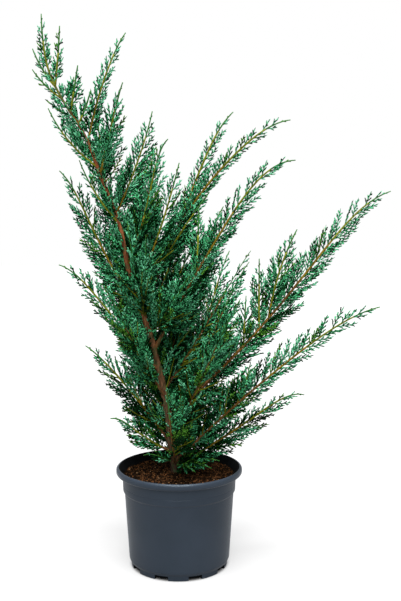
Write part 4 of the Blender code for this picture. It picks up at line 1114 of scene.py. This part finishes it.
def scatter(random, sizes, flatness, sink):
    # Eight-faced crumbs with uneven corners, laid on the soil and sunk in by part of their height
    count = len(sizes)
    corners = np.array(((1, 0, 0), (0, 1, 0), (-1, 0, 0), (0, -1, 0), (0, 0, 1), (0, 0, -1)), float)
    faces = np.array(((0, 1, 4), (1, 2, 4), (2, 3, 4), (3, 0, 4),
                      (1, 0, 5), (2, 1, 5), (3, 2, 5), (0, 3, 5)))
    distance = soil["radius"] * soil["looseReach"] * np.sqrt(random.random(count))
    angle = random.uniform(0, 2 * math.pi, count)
    x, y = distance * np.cos(angle), distance * np.sin(angle)
    grown = corners[None] * random.uniform(*soil["corners"], (count, 6, 1)) * sizes[:, None]
    placed = np.einsum("nij,nkj->nki", turned(random, count, flatness), grown)
    height = soilHeight(x, y) + sizes[:, 2] * sink
    return placed + np.stack((x, y, height), axis=-1)[:, None], faces

def putLoose(name, loose, finish):
    # Loose bits of the soil as one flat-faced piece
    putMesh(name, *joinParts([loose]), finish, "potting_soil", smooth=False)

soilFinish = mottledFinish("soil_bed", *soil["tones"], **soil["look"])
putMesh("soil_bed", *layTop(), soilFinish, "potting_soil", ("soil",))
grit = np.random.default_rng(31)
crumbFinishes = {}
for label, finish, share, roughness, low, high, look in crumbKinds:
    number = int(soil["crumbs"] * share)
    crumbFinishes[finish] = mottledFinish(finish, low, high, roughness=roughness, **look)
    sizes = soil["crumbSize"] * np.exp(grit.normal(*soil["crumbSpread"], number))[:, None]
    sizes = sizes * grit.uniform(*soil["crumbSides"], (number, 3))
    putLoose(label, scatter(grit, sizes, *soil["crumbLie"]), crumbFinishes[finish])
sizes = np.stack([grit.uniform(*span, soil["chips"]) for span in soil["chipSizes"]], axis=1)
putLoose("bark_chips", scatter(grit, sizes, *soil["chipLie"]), crumbFinishes["bark_chips"])
print("juniper: soil")

# Floor, light and camera

studio = {"skyLevel": 0.38, "key": 4.1, "keyTowards": (0.0, 0.20, -1.0), "keySpread": 26.0,
          "fill": 1.1, "fillTowards": (0.0, 1.0, -0.75), "fillSpread": 30.0,
          "floorSide": 9, "floorTone": 0.30, "floorRoughness": 0.8, "floorGloss": 0.1,
          "floorGlow": 0.60, "glowFrom": 0.080, "glowFull": 0.092}
white = (1.0, 1.0, 1.0, 1.0)

def makeStage():
    # A pale sheet of floor far wider than the plant, with a glow that keeps it as pale as the
    # backdrop; the glow is only for what the camera sees, and there is none below the pot
    mesh = bpy.data.meshes.new("pale_floor")
    side = studio["floorSide"]
    mesh.from_pydata([(-side, -side, 0), (side, -side, 0), (side, side, 0), (-side, side, 0)], [],
                     [(0, 1, 2, 3)])
    floor = bpy.data.objects.new("pale_floor", mesh)
    bpy.context.scene.collection.objects.link(floor)
    made, tree, shader, place = newFinish("pale_floor", studio["floorRoughness"],
                                          studio["floorGloss"])
    seen = addNode(tree, "LightPath", {}, "Is Camera Ray")
    away = addNode(tree, "VectorMath", {0: place}, "Value", operation="LENGTH")
    ring = addNode(tree, "MapRange", {"Value": away, "From Min": studio["glowFrom"],
                                      "From Max": studio["glowFull"], "To Max": studio["floorGlow"]},
                   interpolation_type="SMOOTHSTEP")
    glow = addNode(tree, "Math", {0: seen, 1: ring}, operation="MULTIPLY")
    feed(tree, shader, {"Base Color": (studio["floorTone"],) * 3 + (1.0,),
                        "Emission Color": white, "Emission Strength": glow})
    mesh.materials.append(made)

def skyLight():
    # White all round: dimmer as a light than as the backdrop that the camera sees
    world = bpy.data.worlds.new("white_studio")
    world.use_nodes = True
    tree = world.node_tree
    seen = addNode(tree, "LightPath", {}, "Is Camera Ray")
    level = addNode(tree, "MapRange", {"Value": seen, "To Min": studio["skyLevel"], "To Max": 1.0})
    feed(tree, tree.nodes["Background"], {"Color": white, "Strength": level})
    bpy.context.scene.world = world

def softSun(name, towards, strength, spread):
    # A broad overhead light without falloff, aimed along a direction
    lamp = bpy.data.lights.new(name, "SUN")
    lamp.energy = strength
    lamp.angle = math.radians(spread)
    thing = bpy.data.objects.new(name, lamp)
    aim = unit(np.array(towards, float))
    thing.rotation_euler = (math.acos(-aim[2]), 0.0, math.atan2(aim[1], aim[0]) - math.pi / 2)
    bpy.context.scene.collection.objects.link(thing)

makeStage()
skyLight()
for label in ("key", "fill"):
    softSun(f"{label}_light", studio[f"{label}Towards"], studio[label], studio[f"{label}Spread"])
bpy.context.scene.view_settings.view_transform = "Standard"
bpy.context.scene.view_settings.look = "None"

camera = bpy.data.cameras.new("camera")
camera.lens = view["lens"]
camera.sensor_width = view["sensor"]
cameraObject = bpy.data.objects.new("camera", camera)
cameraObject.location = view["place"]
cameraObject.rotation_euler = (math.radians(90 - view["tilt"]), 0.0, 0.0)
bpy.context.scene.collection.objects.link(cameraObject)
bpy.context.scene.camera = cameraObject

print("juniper: stage, light and camera")
